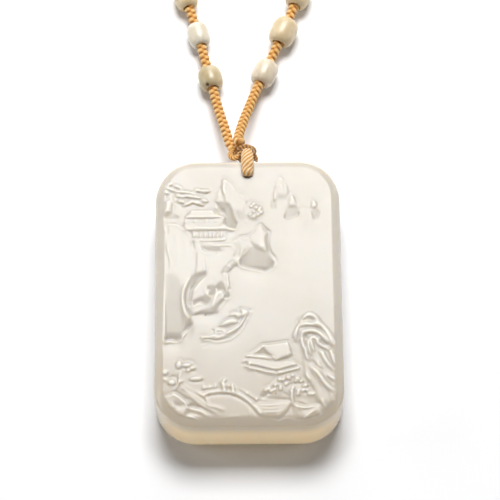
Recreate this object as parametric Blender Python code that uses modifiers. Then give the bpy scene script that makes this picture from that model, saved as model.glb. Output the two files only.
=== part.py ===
"""White jade pendant plaque carved with a landscape, lying on its back with its cord.

Metres, +Z up. The origin is on the surface under the middle of the plaque. The relief
looks up, and the end with the hole and the cord points along +Y. The carving is laid
out in shares of the face: u runs from -50 to 50 across its width, v from -75 to 75
along its length, and heights are shares of the relief's greatest height.
"""

import math

import bmesh
import bpy
from mathutils import Matrix, Vector

# Plaque
PLAQUE_WIDTH = 0.0400
PLAQUE_LENGTH = 0.0625
GROUND_THICKNESS = 0.0112
RELIEF_HEIGHT = 0.0012
CORNER_RADIUS = 0.0090
CORNER_STEPS = 8
BEVEL_WIDTH = 0.0019
BEVEL_DROP = 0.0013
BEVEL_ROUNDING = 0.0004
BACK_ROUNDING = 0.0015
CARVING_SINK = 0.0014       # how far the carved planes reach down, past the bevel's drop

# Hanging hole, drilled at a slant from the face to the middle of the end wall
MOUTH_FROM_EDGE = 0.0033
HOLE_EXIT_HEIGHT = 0.0040
HOLE_DRILL_RUNOUT = 0.0030

# Hanging loop, a flat twisted cord
LOOP_WIDTH = 0.0028
LOOP_THICKNESS = 0.0013
LOOP_WIDTH_IN_HOLE = 0.0017
CORD_CLEARANCE = 0.00035

# Knot and cord
PIECE_GAP = 0.0003
KNOT_CENTRE = (-0.0001, 0.0347, 0.0082)
KNOT_RADII = (0.0021, 0.0017, 0.0019)
CORD_DIAMETER = 0.0023
CORD_POINT_SPACING = 2.2

# Beads: name, greatest diameter, length, place of the centre across and along
BEAD_END_SHARE = 0.76
BEADS_LEFT = (
    ("bead_left_1", 0.0054, 0.0053, -0.00818, 0.05687),
    ("bead_left_2", 0.0049, 0.0056, -0.01092, 0.06840),
    ("bead_left_3", 0.0052, 0.0056, -0.01390, 0.07840),
)
BEADS_RIGHT = (
    ("bead_right_1", 0.0055, 0.0059, 0.00403, 0.05818),
    ("bead_right_2", 0.0059, 0.0064, 0.00842, 0.06880),
    ("bead_right_3", 0.0056, 0.0060, 0.01200, 0.07860),
)
REST_GAP = 0.00002

# Coil of the cord that lies put away beyond the beads
COIL_CENTRE = (-0.0008, 0.1010)
COIL_OUTER_TURN_RADIUS = 0.0156
COIL_INNER_TURN_RADIUS = 0.0080
COIL_LAYERS = 2

JADE = ("white_jade", (0.87, 0.83, 0.76), 0.28)
BEAD_JADE = ("bead_jade", (0.72, 0.64, 0.50), 0.18)
SILK = ("golden_silk", (0.62, 0.36, 0.12), 0.62)
KNOT_SILK = ("dark_silk", (0.30, 0.15, 0.05), 0.65)


def clear_scene():
    """Remove what the scene holds, so the model starts from nothing."""
    for item in list(bpy.data.objects):
        bpy.data.objects.remove(item, do_unlink=True)


def new_collection(name):
    """Make a collection under the scene's own."""
    collection = bpy.data.collections.new(name)
    bpy.context.scene.collection.children.link(collection)
    return collection


def material(finish):
    """Make or find the plain material of a finish given as name, colour and roughness."""
    name, colour, roughness = finish
    found = bpy.data.materials.get(name)
    if found:
        return found
    made = bpy.data.materials.new(name)
    made.use_nodes = True
    shader = made.node_tree.nodes["Principled BSDF"]
    shader.inputs["Base Color"].default_value = (*colour, 1.0)
    shader.inputs["Roughness"].default_value = roughness
    shader.inputs["Metallic"].default_value = 0.0
    return made


def link_object(name, data, collection, finish=None):
    """Put data in the scene as an object, with a material where it is to be seen."""
    item = bpy.data.objects.new(name, data)
    collection.objects.link(item)
    if finish:
        item.data.materials.append(material(finish))
    return item


def mesh_from(shape, name):
    """Make a welded mesh of a bmesh and free the bmesh."""
    bmesh.ops.recalc_face_normals(shape, faces=shape.faces)
    mesh = bpy.data.meshes.new(name)
    shape.to_mesh(mesh)
    shape.free()
    return mesh


def mesh_of_curve(item, weld=0.000001):
    """Swap a curve object for a closed mesh object in the same place."""
    name = item.name
    graph = bpy.context.evaluated_depsgraph_get()
    mesh = bpy.data.meshes.new_from_object(item.evaluated_get(graph))
    mesh.transform(item.matrix_world)
    shape = bmesh.new()
    shape.from_mesh(mesh)
    bmesh.ops.remove_doubles(shape, verts=shape.verts, dist=weld)
    bmesh.ops.recalc_face_normals(shape, faces=shape.faces)
    shape.to_mesh(mesh)
    shape.free()
    collection = item.users_collection[0]
    bpy.data.objects.remove(item, do_unlink=True)
    made = bpy.data.objects.new(name, mesh)
    collection.objects.link(made)
    return made


def apply_boolean(base, others, operation):
    """Join others to base, or cut them from it, and remove them."""
    holder = new_collection("operands")
    for other in others:
        for owner in list(other.users_collection):
            owner.objects.unlink(other)
        holder.objects.link(other)
        other.hide_render = True
        other.display_type = "WIRE"
    step = base.modifiers.new(operation.lower(), "BOOLEAN")
    step.operation = operation
    step.solver = "EXACT"
    step.operand_type = "COLLECTION"
    step.collection = holder
    graph = bpy.context.evaluated_depsgraph_get()
    mesh = bpy.data.meshes.new_from_object(base.evaluated_get(graph))
    base.modifiers.clear()
    base.data = mesh
    for other in others:
        bpy.data.objects.remove(other, do_unlink=True)
    bpy.data.collections.remove(holder)


def face_place(u, v):
    """Place on the face, in metres, of a point in shares of its width and length."""
    return u / 100 * PLAQUE_WIDTH, v / 150 * PLAQUE_LENGTH


def slab(outline, low, high, rise, helpers):
    """Make one carved plane with upright edges.

    The plane lies at height share low on the outline's lowest side and at high on
    its highest side, where rise points uphill across the face.
    """
    curve = bpy.data.curves.new("plane", "CURVE")
    curve.dimensions = "2D"
    curve.fill_mode = "BOTH"
    curve.extrude = RELIEF_HEIGHT
    spline = curve.splines.new("POLY")
    spline.points.add(len(outline) - 1)
    spline.use_cyclic_u = True
    for point, (u, v) in zip(spline.points, outline):
        point.co = (*face_place(u, v), 0.0, 1.0)
    item = mesh_of_curve(link_object("plane", curve, helpers))
    uphill = Vector(rise).normalized()
    ways = [uphill.dot(Vector(face_place(u, v))) for u, v in outline]
    start, span = min(ways), max(ways) - min(ways)
    for vertex in item.data.vertices:
        share = (uphill.dot(vertex.co.xy) - start) / span
        top = GROUND_THICKNESS + RELIEF_HEIGHT * (low + (high - low) * share)
        vertex.co.z = top if vertex.co.z > 0 else GROUND_THICKNESS - CARVING_SINK
    return item


def ridge(route, width, height, helpers, ends=0.5):
    """Make a half-round raised band along a route on the face.

    width is a share of the plaque's width in hundredths and height a share of the
    relief's height. The band thins towards both ends to the share ends.
    """
    half = width / 200 * PLAQUE_WIDTH
    curve = bpy.data.curves.new("band", "CURVE")
    curve.dimensions = "3D"
    curve.bevel_depth = half
    curve.bevel_resolution = 1
    curve.use_fill_caps = True
    spline = curve.splines.new("POLY")
    spline.points.add(len(route) - 1)
    last = len(route) - 1
    for number, (point, (u, v)) in enumerate(zip(spline.points, route)):
        point.co = (*face_place(u, v), 0.0, 1.0)
        point.radius = ends + (1 - ends) * math.sin(math.pi * number / last)
    item = mesh_of_curve(link_object("band", curve, helpers))
    stretch = RELIEF_HEIGHT * height / half
    for vertex in item.data.vertices:
        vertex.co.z = GROUND_THICKNESS + vertex.co.z * stretch
    return item


def lump(u, v, across, along, height, helpers, turn=0.0):
    """Make a low rounded lump, given by its half sizes in shares of the face."""
    x, y = face_place(u, v)
    reach_x, reach_y = face_place(across, along)
    shape = bmesh.new()
    bmesh.ops.create_uvsphere(shape, u_segments=8, v_segments=5, radius=1.0)
    stretch = Matrix.Diagonal((reach_x, reach_y, RELIEF_HEIGHT * height, 1.0))
    place = Matrix.Translation((x, y, GROUND_THICKNESS))
    place = place @ Matrix.Rotation(math.radians(turn), 4, "Z") @ stretch
    bmesh.ops.transform(shape, matrix=place, verts=shape.verts)
    return link_object("lump", mesh_from(shape, "lump"), helpers)


def pine(helpers):
    """Carve the leaning pine over the hall: trunk, bough and rows of leaf clumps."""
    pieces = [
        ridge(((-41.5, 57), (-42.5, 52), (-42, 48), (-45, 44), (-46, 40)), 2.6, 0.5, helpers),
        ridge(((-43, 51), (-39, 51), (-35, 48), (-31, 48), (-27, 49), (-21, 50)), 1.5, 0.4, helpers),
    ]
    rows, clumps = 4, 5
    for row in range(rows):
        for clump in range(clumps - row // 2):
            u = -43.5 + 5.6 * clump + 1.8 * row
            v = 62.5 - 1.4 * clump - 2.7 * row
            pieces.append(lump(u, v, 3.1, 1.5, 0.42, helpers, turn=-24))
    return pieces


def hall(helpers):
    """Carve the two-storey hall: two roofs that rise towards their eaves, over walls."""
    pieces = [
        slab(((-33.6, 42), (-33.6, 38), (-17, 38), (-17, 42)), 0.35, 0.36, (0, 1), helpers),
        slab(((-30.4, 46), (-34.6, 41.4), (-13.6, 41.4), (-18, 46)), 0.75, 0.5, (0, 1), helpers),
        slab(((-30.4, 35), (-30.4, 28.8), (-13, 28.8), (-13, 35)), 0.35, 0.36, (0, 1), helpers),
        slab(((-29, 37.4), (-34.6, 33.9), (-13, 33.5), (-7.4, 34.8), (-13, 37.4)), 0.8, 0.5, (0, 1), helpers),
    ]
    columns, first, step = 5, -29.6, 4.0
    for number in range(columns):
        u = first + step * number
        pieces.append(ridge(((u, 34.5), (u, 28.6)), 1.1, 0.55, helpers, ends=1.0))
    return pieces


def central_peak(helpers):
    """Carve the central peak: a lit plane with ribs and a plane that falls away."""
    lit = ((-12.6, 64), (-15.2, 60), (-13, 54), (-9, 46), (-6.5, 38.6), (-1, 38.6),
           (-0.1, 45.5), (-0.6, 50.6), (-1.8, 54), (-4.7, 54.6), (-7.9, 59.2))
    shade = ((-15.2, 60.5), (-18, 53.5), (-18.6, 46.7), (-16, 41), (-9, 36), (-4, 38), (-9, 47))
    pieces = [
        slab(lit, 0.45, 0.8, (0.1, 1), helpers),
        slab(shade, -0.05, 0.7, (0, 1), helpers),
    ]
    ribs = 3
    for rib in range(ribs):
        u = -11.5 + 3.2 * rib
        route = ((u, 60 - 3 * rib), (u + 2, 50 - rib), (u + 5.2, 40))
        pieces.append(ridge(route, 1.5, 0.85 - 0.1 * rib, helpers))
    return pieces


def shrub(helpers):
    """Carve the shrub at the peak's foot as a cluster of lumps."""
    pieces = []
    around, leaves = (3.8, 44.8), 7
    for leaf in range(leaves):
        angle = math.tau * leaf / leaves
        u = around[0] + 3.4 * math.cos(angle)
        v = around[1] + 3.2 * math.sin(angle)
        pieces.append(lump(u, v, 1.9, 1.8, 0.55, helpers))
    pieces.append(lump(*around, 3.0, 2.6, 0.7, helpers))
    return pieces


def middle_rock(helpers):
    """Carve the sharp rock beside the hall: a lit facet above a wide falling slope."""
    facet = ((6.6, 36.4), (10.3, 32.4), (10.4, 22.3), (5.5, 23.5), (1.9, 28))
    slope = ((-3.8, 27.8), (2.4, 25.6), (6, 24.5), (10.4, 23.2), (13.8, 16.3), (9.5, 10), (-2.9, 13.8),
             (-8, 18.6))
    return [
        slab(facet, 0.9, 0.6, (0, 1), helpers),
        slab(slope, -0.05, 0.85, (-0.1, 1), helpers),
    ]


def left_cliff(helpers):
    """Carve the great cliff at the left edge with its second layer and falling foot."""
    face = ((-42.9, 38), (-37.2, 36.4), (-31.5, 31.8), (-30.4, 27.8), (-28.2, 23.8), (-27.8, 18),
            (-29, 12), (-33, 4), (-35.2, -3), (-43, 10))
    layer = ((-30.4, 29.2), (-27, 27), (-25.8, 22.6), (-21.6, 19.3), (-22.6, 11), (-27.8, 8.9),
             (-31.8, 3.5), (-30, 16))
    foot = ((-44.3, 12.5), (-42.4, 11.6), (-35.4, 0.8), (-31.2, -15), (-35.4, -25), (-43.4, -30), (-45, -24))
    lip = ((-22.4, 10.8), (-28, 8), (-32.4, 2.4), (-34.2, -4), (-33.4, -10), (-30.6, -15.4))
    return [
        slab(face, 0.85, 0.95, (1, 0), helpers),
        slab(layer, 0.5, 0.65, (1, 0), helpers),
        slab(foot, -0.05, 0.85, (0.35, 1), helpers),
        ridge(lip, 2.0, 0.85, helpers),
    ]


def middle_cliff(helpers):
    """Carve the rock under the hall: a terrace, a bright wall and hollowed ledges."""
    terrace = ((-29.5, 28.6), (-24, 26), (-8, 27), (-6, 22), (-9, 20), (-20, 23.4), (-27, 24.4))
    wall = ((-21.5, 24), (-12, 23.6), (-6, 20), (-6, 17), (-12.8, 11), (-17, 5.5), (-21, 1.5), (-24, 2.5),
            (-22, 11))
    foot = ((-17, 6.5), (-13, 7), (-11.3, 1), (-10.2, -3.2), (-14.6, -10.5), (-18, -13.4), (-27, -12.6),
            (-32.6, -9), (-31.4, 1.5), (-24, 3))
    pieces = [
        slab(terrace, 0.55, 0.75, (0, -1), helpers),
        slab(wall, 0.3, 0.8, (0.6, 1), helpers),
        slab(foot, -0.05, 0.55, (0, 1), helpers),
        ridge(((-6.2, 18.6), (-11.6, 12.6), (-13.4, 6), (-11.6, 0.6), (-10.8, -3.6)), 1.6, 0.8, helpers),
    ]
    ledges = 3
    for ledge in range(ledges):
        u, v = -27 + 4.5 * ledge, -10.5 + 4.2 * ledge
        pieces.append(ridge(((u - 4, v - 0.6), (u, v + 1.2), (u + 5, v + 0.4)), 1.7, 0.55, helpers))
    return pieces


def boat(helpers):
    """Carve the boat: a leaning hull, its awning in two humps, and a bow."""
    hull = ((-23.4, -27.6), (-18.4, -29.8), (-9.4, -27), (-3.6, -22), (0, -17), (1.2, -12.8), (-1.6, -11.4),
            (-6, -14), (-15.4, -21), (-17.6, -24.4))
    return [
        slab(hull, 0.35, 0.6, (-0.6, 1), helpers),
        lump(-13, -18.4, 4.2, 2.4, 0.95, helpers, turn=36),
        lump(-7, -14.6, 3.4, 1.8, 0.85, helpers, turn=36),
        ridge(((-22.6, -27.6), (-14, -26.6), (-5, -20), (0.4, -12.6)), 1.2, 0.75, helpers),
    ]


def far_peaks(helpers):
    """Carve the three far peaks, each a lit tip over a falling slope, and the waterfall."""
    peaks = (
        (18.2, 64.8, 3.6, 7.0, 10.5),
        (24.2, 55.0, 2.9, 6.4, 8.0),
        (35.8, 51.6, 2.3, 4.6, 7.0),
    )
    pieces = []
    for u, v, half, tip, fall in peaks:
        lit = ((u, v), (u - half * 0.6, v - tip * 0.45), (u - half, v - tip), (u + half, v - tip),
               (u + half * 0.5, v - 0.35 * tip))
        shade = ((u - half, v - tip + 0.6), (u + half, v - tip + 0.6), (u + half * 1.1, v - tip - fall * 0.5),
                 (u + half * 0.3, v - tip - fall), (u - half * 0.8, v - tip - fall * 0.8))
        pieces.append(slab(lit, 0.55, 0.4, (0, 1), helpers))
        pieces.append(slab(shade, -0.05, 0.5, (0, 1), helpers))
    for side in (-1, 1):
        u = 31.8 + 2.2 * side
        pieces.append(ridge(((u, 45.5), (u + 0.4 * side, 38), (u, 28)), 0.9, 0.3, helpers))
    return pieces


def pavilion(helpers):
    """Carve the lakeside pavilion: a hipped roof, its gable and two tiers of deck."""
    front = ((7.6, -31.6), (20.4, -29.9), (23, -37), (14.8, -39.6))
    gable = ((8.6, -32.2), (7, -31.8), (-2.8, -37), (0, -38.2), (14.2, -39.9), (14.6, -38.6))
    under = ((-1.4, -37.6), (14.4, -38.8), (22.2, -36.2), (25.4, -41), (14.6, -45.2), (-1.4, -41.2))
    deck = ((-3, -41), (14.4, -45), (26.6, -42.8), (27, -45), (14.2, -47.4), (-3, -44.4))
    pieces = [
        slab(deck, 0.55, 0.56, (0, 1), helpers),
        slab(under, 0.7, 0.62, (0, 1), helpers),
        slab(gable, 0.85, 0.6, (0, 1), helpers),
        slab(front, 1.0, 0.8, (0, 1), helpers),
        ridge(((7.4, -31.4), (3.6, -34.4), (-3, -36.8)), 1.0, 0.95, helpers),
    ]
    posts, first, step = 3, -1.4, 3.2
    for number in range(posts):
        u, v = first + step * number, -44.4 - 0.5 * number
        pieces.append(ridge(((u, v), (u, v - 3.0)), 1.0, 0.4, helpers, ends=1.0))
    return pieces


def tall_rock(helpers):
    """Carve the tall rock at the right with its nested, leaning strata."""
    body = ((32.8, -13.4), (28, -18), (24.2, -26.2), (25.6, -29), (30, -44), (34, -57), (40.5, -66.4),
            (44.6, -62), (45.2, -46), (45.6, -31), (43.4, -23.6), (37.3, -17.6))
    pieces = [slab(body, 0.1, 0.6, (0, 1), helpers)]
    strata = 5
    for layer in range(strata):
        shrink = 1 - 0.17 * layer
        crown = (32.6 + 1.4 * layer, -19.6 - 3.6 * layer)
        left = (crown[0] - 7.6 * shrink, crown[1] - 6.6 * shrink)
        shoulder = (crown[0] + 5.4 * shrink, crown[1] - 2.6 * shrink)
        right = (44.8, crown[1] - 11.5 - 1.4 * layer)
        route = (left, (crown[0] - 4.8 * shrink, crown[1] - 1.4), crown, shoulder, right)
        pieces.append(ridge(route, 2.5 - 0.2 * layer, 1.0 - 0.06 * layer, helpers))
    sweeps = 3
    for sweep in range(sweeps):
        u, v = 33.6 - 1.2 * sweep, -45.5 - 5.2 * sweep
        pieces.append(ridge(((u, v), (u + 4, v - 6.6), (u + 10.5 - sweep, v - 10.6)), 2.0, 0.6, helpers))
    return pieces


def right_tree(helpers):
    """Carve the tree before the tall rock: trunk, boughs and a crown of leaf lumps."""
    pieces = [
        ridge(((23.2, -69.8), (22.2, -62), (22.6, -55.5)), 2.0, 0.6, helpers, ends=0.7),
        ridge(((22.4, -62), (17.6, -57.4), (10.6, -55.6)), 1.3, 0.5, helpers),
        ridge(((22.4, -59.6), (27.4, -56.8), (32, -56.2)), 1.2, 0.5, helpers),
    ]
    leaves = 11
    for leaf in range(leaves):
        angle = math.pi * (1.08 - 1.16 * leaf / (leaves - 1))
        u = 23.6 + 9.4 * math.cos(angle)
        v = -56.2 + 7.8 * math.sin(angle)
        pieces.append(lump(u, v, 1.5, 1.3, 0.5, helpers, turn=35 * leaf))
    for u, v in ((9.4, -55.2), (13, -54.4), (29, -54.6), (33.4, -57.8)):
        pieces.append(lump(u, v, 1.9, 1.3, 0.5, helpers))
    return pieces


def banks(helpers):
    """Carve the two shelving banks at the lower right."""
    middle = ((2.2, -63), (12.4, -63.6), (21.6, -62.8), (19.6, -67.5), (12.8, -70), (6, -68.6))
    right = ((23.8, -64), (35.2, -64.8), (38, -67), (39.2, -69.2), (36, -68.6), (28.6, -72), (25, -70.2))
    pieces = [
        slab(middle, 0.3, 0.6, (0, 1), helpers),
        slab(right, 0.3, 0.65, (0, 1), helpers),
        ridge(((10, -72), (16, -71), (22, -72), (27, -73)), 1.2, 0.35, helpers),
    ]
    streaks = 3
    for streak in range(streaks):
        u, v = 3 + 1.4 * streak, -63.8 - 1.7 * streak
        pieces.append(ridge(((u, v), (u + 6, v - 0.9), (u + 13, v + 0.2)), 1.0, 0.62, helpers))
    return pieces


def bridge(helpers):
    """Carve the arched bridge: deck, hand rail, posts and two small walkers."""
    deck = ((-25.3, -57.4), (-19.6, -56.2), (-14.4, -55.8), (-9.2, -57.2), (-4, -59.8), (0.6, -62.6),
            (5.4, -67.8))
    rail_rise = 3.0
    rail = tuple((u, v + rail_rise) for u, v in deck[:-1])
    pieces = [
        ridge(deck, 2.2, 0.85, helpers, ends=0.8),
        ridge(rail, 0.9, 0.5, helpers, ends=0.8),
    ]
    for u, v in ((-23.6, -57), (-18, -56.2), (-1, -61.6)):
        pieces.append(ridge(((u, v), (u, v + rail_rise + 0.6)), 1.0, 0.55, helpers, ends=1.0))
    for u, v, size in ((-13.2, -52.6, 1.0), (-8.6, -55, 0.85)):
        pieces.append(lump(u, v, 1.2 * size, 2.6 * size, 0.85, helpers))
        pieces.append(lump(u - 0.2, v + 3.0 * size, 0.8 * size, 0.9 * size, 0.85, helpers))
    return pieces


def left_trees(helpers):
    """Carve the trees at the lower left: forked trunk and leaf crowns."""
    pieces = [
        ridge(((-36.4, -46.5), (-36.4, -50.2), (-38, -53.2), (-41, -56.4)), 1.7, 0.6, helpers, ends=0.7),
        ridge(((-36.4, -50), (-34.4, -47.6), (-33.6, -44.6)), 1.1, 0.5, helpers),
        ridge(((-37.6, -52.6), (-40.4, -48.6), (-44.4, -49.4)), 1.1, 0.5, helpers),
    ]
    crowns = (
        (-37.6, -40.6, 2.4, 2.2), (-34, -41.4, 2.6, 1.8), (-30, -42.2, 2.8, 1.9), (-29.4, -44.4, 2.4, 1.4),
        (-44.4, -45.6, 1.9, 1.9), (-40.4, -51.2, 3.4, 1.9), (-27.6, -49.8, 3.6, 1.6),
    )
    for u, v, across, along in crowns:
        pieces.append(lump(u, v, across, along, 0.6, helpers))
    return pieces


def left_rocks(helpers):
    """Carve the rocks at the lower left: shelving strata that end in long tongues."""
    upper = ((-36, -53.4), (-32, -54), (-25, -58.2), (-23, -62), (-26.6, -63), (-33.4, -59), (-37.6, -58.4))
    shelf = ((-43.6, -58), (-38.8, -57.6), (-33, -61.6), (-31.4, -66.4), (-34.2, -67.8), (-39.4, -65.6))
    pieces = [
        slab(upper, 0.4, 0.7, (0.3, 1), helpers),
        slab(shelf, 0.3, 0.65, (0, 1), helpers),
    ]
    tongues = (
        ((-35, -54), (-27, -58), (-21.5, -63), (-13.6, -66.4)),
        ((-35, -57), (-28, -61.4), (-23, -64.6), (-17.8, -67.6)),
        ((-36, -64), (-31, -64.8), (-26, -66.8), (-22, -69.2)),
        ((-39, -64.8), (-34.8, -67.6), (-31, -69), (-25.6, -70.8)),
    )
    for number, route in enumerate(tongues):
        pieces.append(ridge(route, 2.2 - 0.2 * number, 0.75 - 0.05 * number, helpers, ends=0.35))
    return pieces


def blank_plaque(helpers):
    """Make the uncarved plaque: rounded corners, a bevelled face and a rounded back."""
    wall_top = GROUND_THICKNESS
    shape = bmesh.new()
    bmesh.ops.create_cube(shape, size=1.0)
    size = Matrix.Diagonal((PLAQUE_WIDTH, PLAQUE_LENGTH, wall_top, 1.0))
    bmesh.ops.transform(shape, matrix=Matrix.Translation((0, 0, wall_top / 2)) @ size, verts=shape.verts)
    upright = [edge for edge in shape.edges if abs(edge.verts[0].co.z - edge.verts[1].co.z) > wall_top / 2]
    bmesh.ops.bevel(shape, geom=upright, offset=CORNER_RADIUS, offset_type="OFFSET", segments=CORNER_STEPS,
                    profile=0.5, affect="EDGES")
    face = max(shape.faces, key=lambda item: item.calc_center_median().z)
    bmesh.ops.inset_region(shape, faces=[face], thickness=BEVEL_WIDTH, use_even_offset=True)
    inner = set(face.verts)
    outer = [vert for vert in shape.verts if vert.co.z > wall_top / 2 and vert not in inner]
    bmesh.ops.translate(shape, verts=outer, vec=(0, 0, -BEVEL_DROP))
    outer = set(outer)
    bevel_edges = [edge for edge in shape.edges if set(edge.verts) <= outer or set(edge.verts) <= inner]
    bmesh.ops.bevel(shape, geom=bevel_edges, offset=BEVEL_ROUNDING, offset_type="OFFSET", segments=2,
                    profile=0.5, affect="EDGES")
    back = [edge for edge in shape.edges if max(vert.co.z for vert in edge.verts) < PIECE_GAP / 10]
    bmesh.ops.bevel(shape, geom=back, offset=BACK_ROUNDING, offset_type="OFFSET", segments=3, profile=0.5,
                    affect="EDGES")
    return link_object("plaque", mesh_from(shape, "plaque"), helpers)


def hole_ends():
    """Give the middle of the hole's mouth in the face and of its way out, as (y, z)."""
    rim = PLAQUE_LENGTH / 2
    return Vector((rim - MOUTH_FROM_EDGE, GROUND_THICKNESS)), Vector((rim, HOLE_EXIT_HEIGHT))


def drill(helpers):
    """Make the cutter of the slanted hanging hole."""
    mouth, way_out = hole_ends()
    along = way_out - mouth
    middle = (mouth + way_out) / 2
    shape = bmesh.new()
    radius = LOOP_WIDTH_IN_HOLE / 2 + CORD_CLEARANCE
    bmesh.ops.create_cone(shape, cap_ends=True, segments=20, radius1=radius, radius2=radius,
                          depth=along.length + 2 * HOLE_DRILL_RUNOUT)
    slant = Vector((0, along.x, along.y)).to_track_quat("Z", "X").to_matrix().to_4x4()
    place = Matrix.Translation((0, middle.x, middle.y)) @ slant
    bmesh.ops.transform(shape, matrix=place, verts=shape.verts)
    return link_object("drill", mesh_from(shape, "drill"), helpers)


def build_plaque(parts, helpers):
    """Drill the plaque's hole, then join the whole carving to its face at once."""
    plaque = blank_plaque(helpers)
    apply_boolean(plaque, [drill(helpers)], "DIFFERENCE")
    scene_makers = (pine, hall, central_peak, shrub, middle_rock, left_cliff, middle_cliff, boat, far_peaks,
                    pavilion, tall_rock, right_tree, banks, bridge, left_trees, left_rocks)
    apply_boolean(plaque, [piece for maker in scene_makers for piece in maker(helpers)], "UNION")
    helpers.objects.unlink(plaque)
    parts.objects.link(plaque)
    plaque.data.materials.clear()
    plaque.data.materials.append(material(JADE))
    plaque.data.shade_smooth()
    plaque.data.set_sharp_from_angle(angle=math.radians(25))
    return plaque


def smooth_route(points, spacing):
    """Read evenly spaced points from a smooth curve through the given ones."""
    knots = [Vector(point) for point in points]
    ends = [knots[0] * 2 - knots[1]], [knots[-1] * 2 - knots[-2]]
    padded = ends[0] + knots + ends[1]
    fine, steps = [], 24
    for a, b, c, d in zip(padded, padded[1:], padded[2:], padded[3:]):
        for step in range(steps):
            t = step / steps
            bend = (2 * a - 5 * b + 4 * c - d) * t * t + (3 * b - a - 3 * c + d) * t ** 3
            fine.append(b + ((c - a) * t + bend) / 2)
    fine.append(knots[-1])
    lengths = [0.0]
    for a, b in zip(fine, fine[1:]):
        lengths.append(lengths[-1] + (b - a).length)
    count = max(2, round(lengths[-1] / spacing))
    even, index = [], 0
    for number in range(count + 1):
        wanted = lengths[-1] * number / count
        while index < len(fine) - 2 and lengths[index + 1] < wanted:
            index += 1
        share = (wanted - lengths[index]) / (lengths[index + 1] - lengths[index])
        even.append(fine[index].lerp(fine[index + 1], min(1.0, share)))
    return even


def tube(name, route, diameter, finish, parts, radii=None):
    """Make a cord's tube along a route, with its relative radius at each point."""
    curve = bpy.data.curves.new(name, "CURVE")
    curve.dimensions = "3D"
    curve.bevel_depth = diameter / 2
    curve.bevel_resolution = 2
    curve.use_fill_caps = True
    spline = curve.splines.new("POLY")
    spline.points.add(len(route) - 1)
    for number, (point, place) in enumerate(zip(spline.points, route)):
        point.co = (*place, 1.0)
        point.radius = radii[number] if radii else 1.0
    return link_object(name, curve, parts, finish)


def build_hanging_loop(parts):
    """Lead the loop from the knot over the rim, through the hole and back to the knot."""
    mouth, way_out = hole_ends()
    rim = PLAQUE_LENGTH / 2
    lift = GROUND_THICKNESS + PIECE_GAP + LOOP_THICKNESS / 2
    inward = (way_out - mouth).normalized()
    bend = LOOP_THICKNESS / 2
    knot = Vector(KNOT_CENTRE).yz
    front = knot + Vector((-bend, KNOT_RADII[2] + PIECE_GAP + bend))
    behind = knot - Vector((bend, KNOT_RADII[2] + PIECE_GAP + bend))
    route = (
        front,
        Vector((rim + bend, lift - bend / 3)),
        Vector((rim - BEVEL_WIDTH * 0.6, lift + bend / 4)),
        Vector((mouth.x + bend, lift)),
        Vector((mouth.x - bend, GROUND_THICKNESS + bend)),
        mouth.lerp(way_out, 0.2),
        mouth.lerp(way_out, 0.8),
        way_out + inward * bend,
        Vector((rim + 2 * bend, HOLE_EXIT_HEIGHT + bend / 2)),
        behind,
    )
    points = smooth_route([(0.0, y, z) for y, z in route], LOOP_THICKNESS * 0.7)
    thin = LOOP_WIDTH_IN_HOLE / LOOP_WIDTH
    over_rim = GROUND_THICKNESS + PIECE_GAP
    radii = [1.0 if place.z > over_rim else thin for place in points]
    for _ in range(3):
        inner = [(a + b + c) / 3 for a, b, c in zip(radii, radii[1:], radii[2:])]
        radii = radii[:1] + inner + radii[-1:]
    loop = tube("hanging_loop", points, LOOP_THICKNESS, SILK, parts, radii)
    loop.scale.x = LOOP_WIDTH / LOOP_THICKNESS
    return loop


def build_knot(parts, helpers):
    """Tie the knot as a lump of crossing turns with a cut end at its right."""
    shape = bmesh.new()
    bmesh.ops.create_uvsphere(shape, u_segments=14, v_segments=9, radius=1.0)
    place = Matrix.Translation(KNOT_CENTRE) @ Matrix.Diagonal((*KNOT_RADII, 1.0))
    bmesh.ops.transform(shape, matrix=place, verts=shape.verts)
    knot = link_object("knot", mesh_from(shape, "knot"), parts)
    shape = bmesh.new()
    bmesh.ops.create_cone(shape, cap_ends=True, segments=10, radius1=CORD_DIAMETER * 0.35,
                          radius2=CORD_DIAMETER * 0.3, depth=CORD_DIAMETER)
    centre = Vector(KNOT_CENTRE) + Vector((KNOT_RADII[0] * 0.85, -KNOT_RADII[1] * 0.45, 0))
    place = Matrix.Translation(centre) @ Matrix.Rotation(math.radians(65), 4, "Y")
    bmesh.ops.transform(shape, matrix=place, verts=shape.verts)
    end = link_object("end", mesh_from(shape, "end"), helpers)
    apply_boolean(knot, [end], "UNION")
    knot.data.materials.clear()
    knot.data.materials.append(material(KNOT_SILK))
    knot.data.shade_smooth()
    knot.data.set_sharp_from_angle(angle=math.radians(40))
    return knot


def bead_height(diameter):
    """Height of a bead's middle where it lies on the surface."""
    return diameter / 2 + REST_GAP


def coil_entry(side):
    """Place where a leg meets the coil, clear of its side; side is -1 left, 1 right."""
    outside = COIL_OUTER_TURN_RADIUS + CORD_DIAMETER / 2
    inside_edge = COIL_OUTER_TURN_RADIUS - CORD_DIAMETER / 2
    back = math.sqrt(outside ** 2 - inside_edge ** 2) + 2 * PIECE_GAP
    return COIL_CENTRE[0] + side * COIL_OUTER_TURN_RADIUS, COIL_CENTRE[1] - back


def cord_route(start, falling, beads, between, after):
    """List a leg's points from the knot through its beads to the coil."""
    points = [start, *falling]
    for (_, diameter, _, x, y), rest in zip(beads, between):
        points.append((x, y, bead_height(diameter)))
        points.append(rest)
    points += after
    return points


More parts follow.
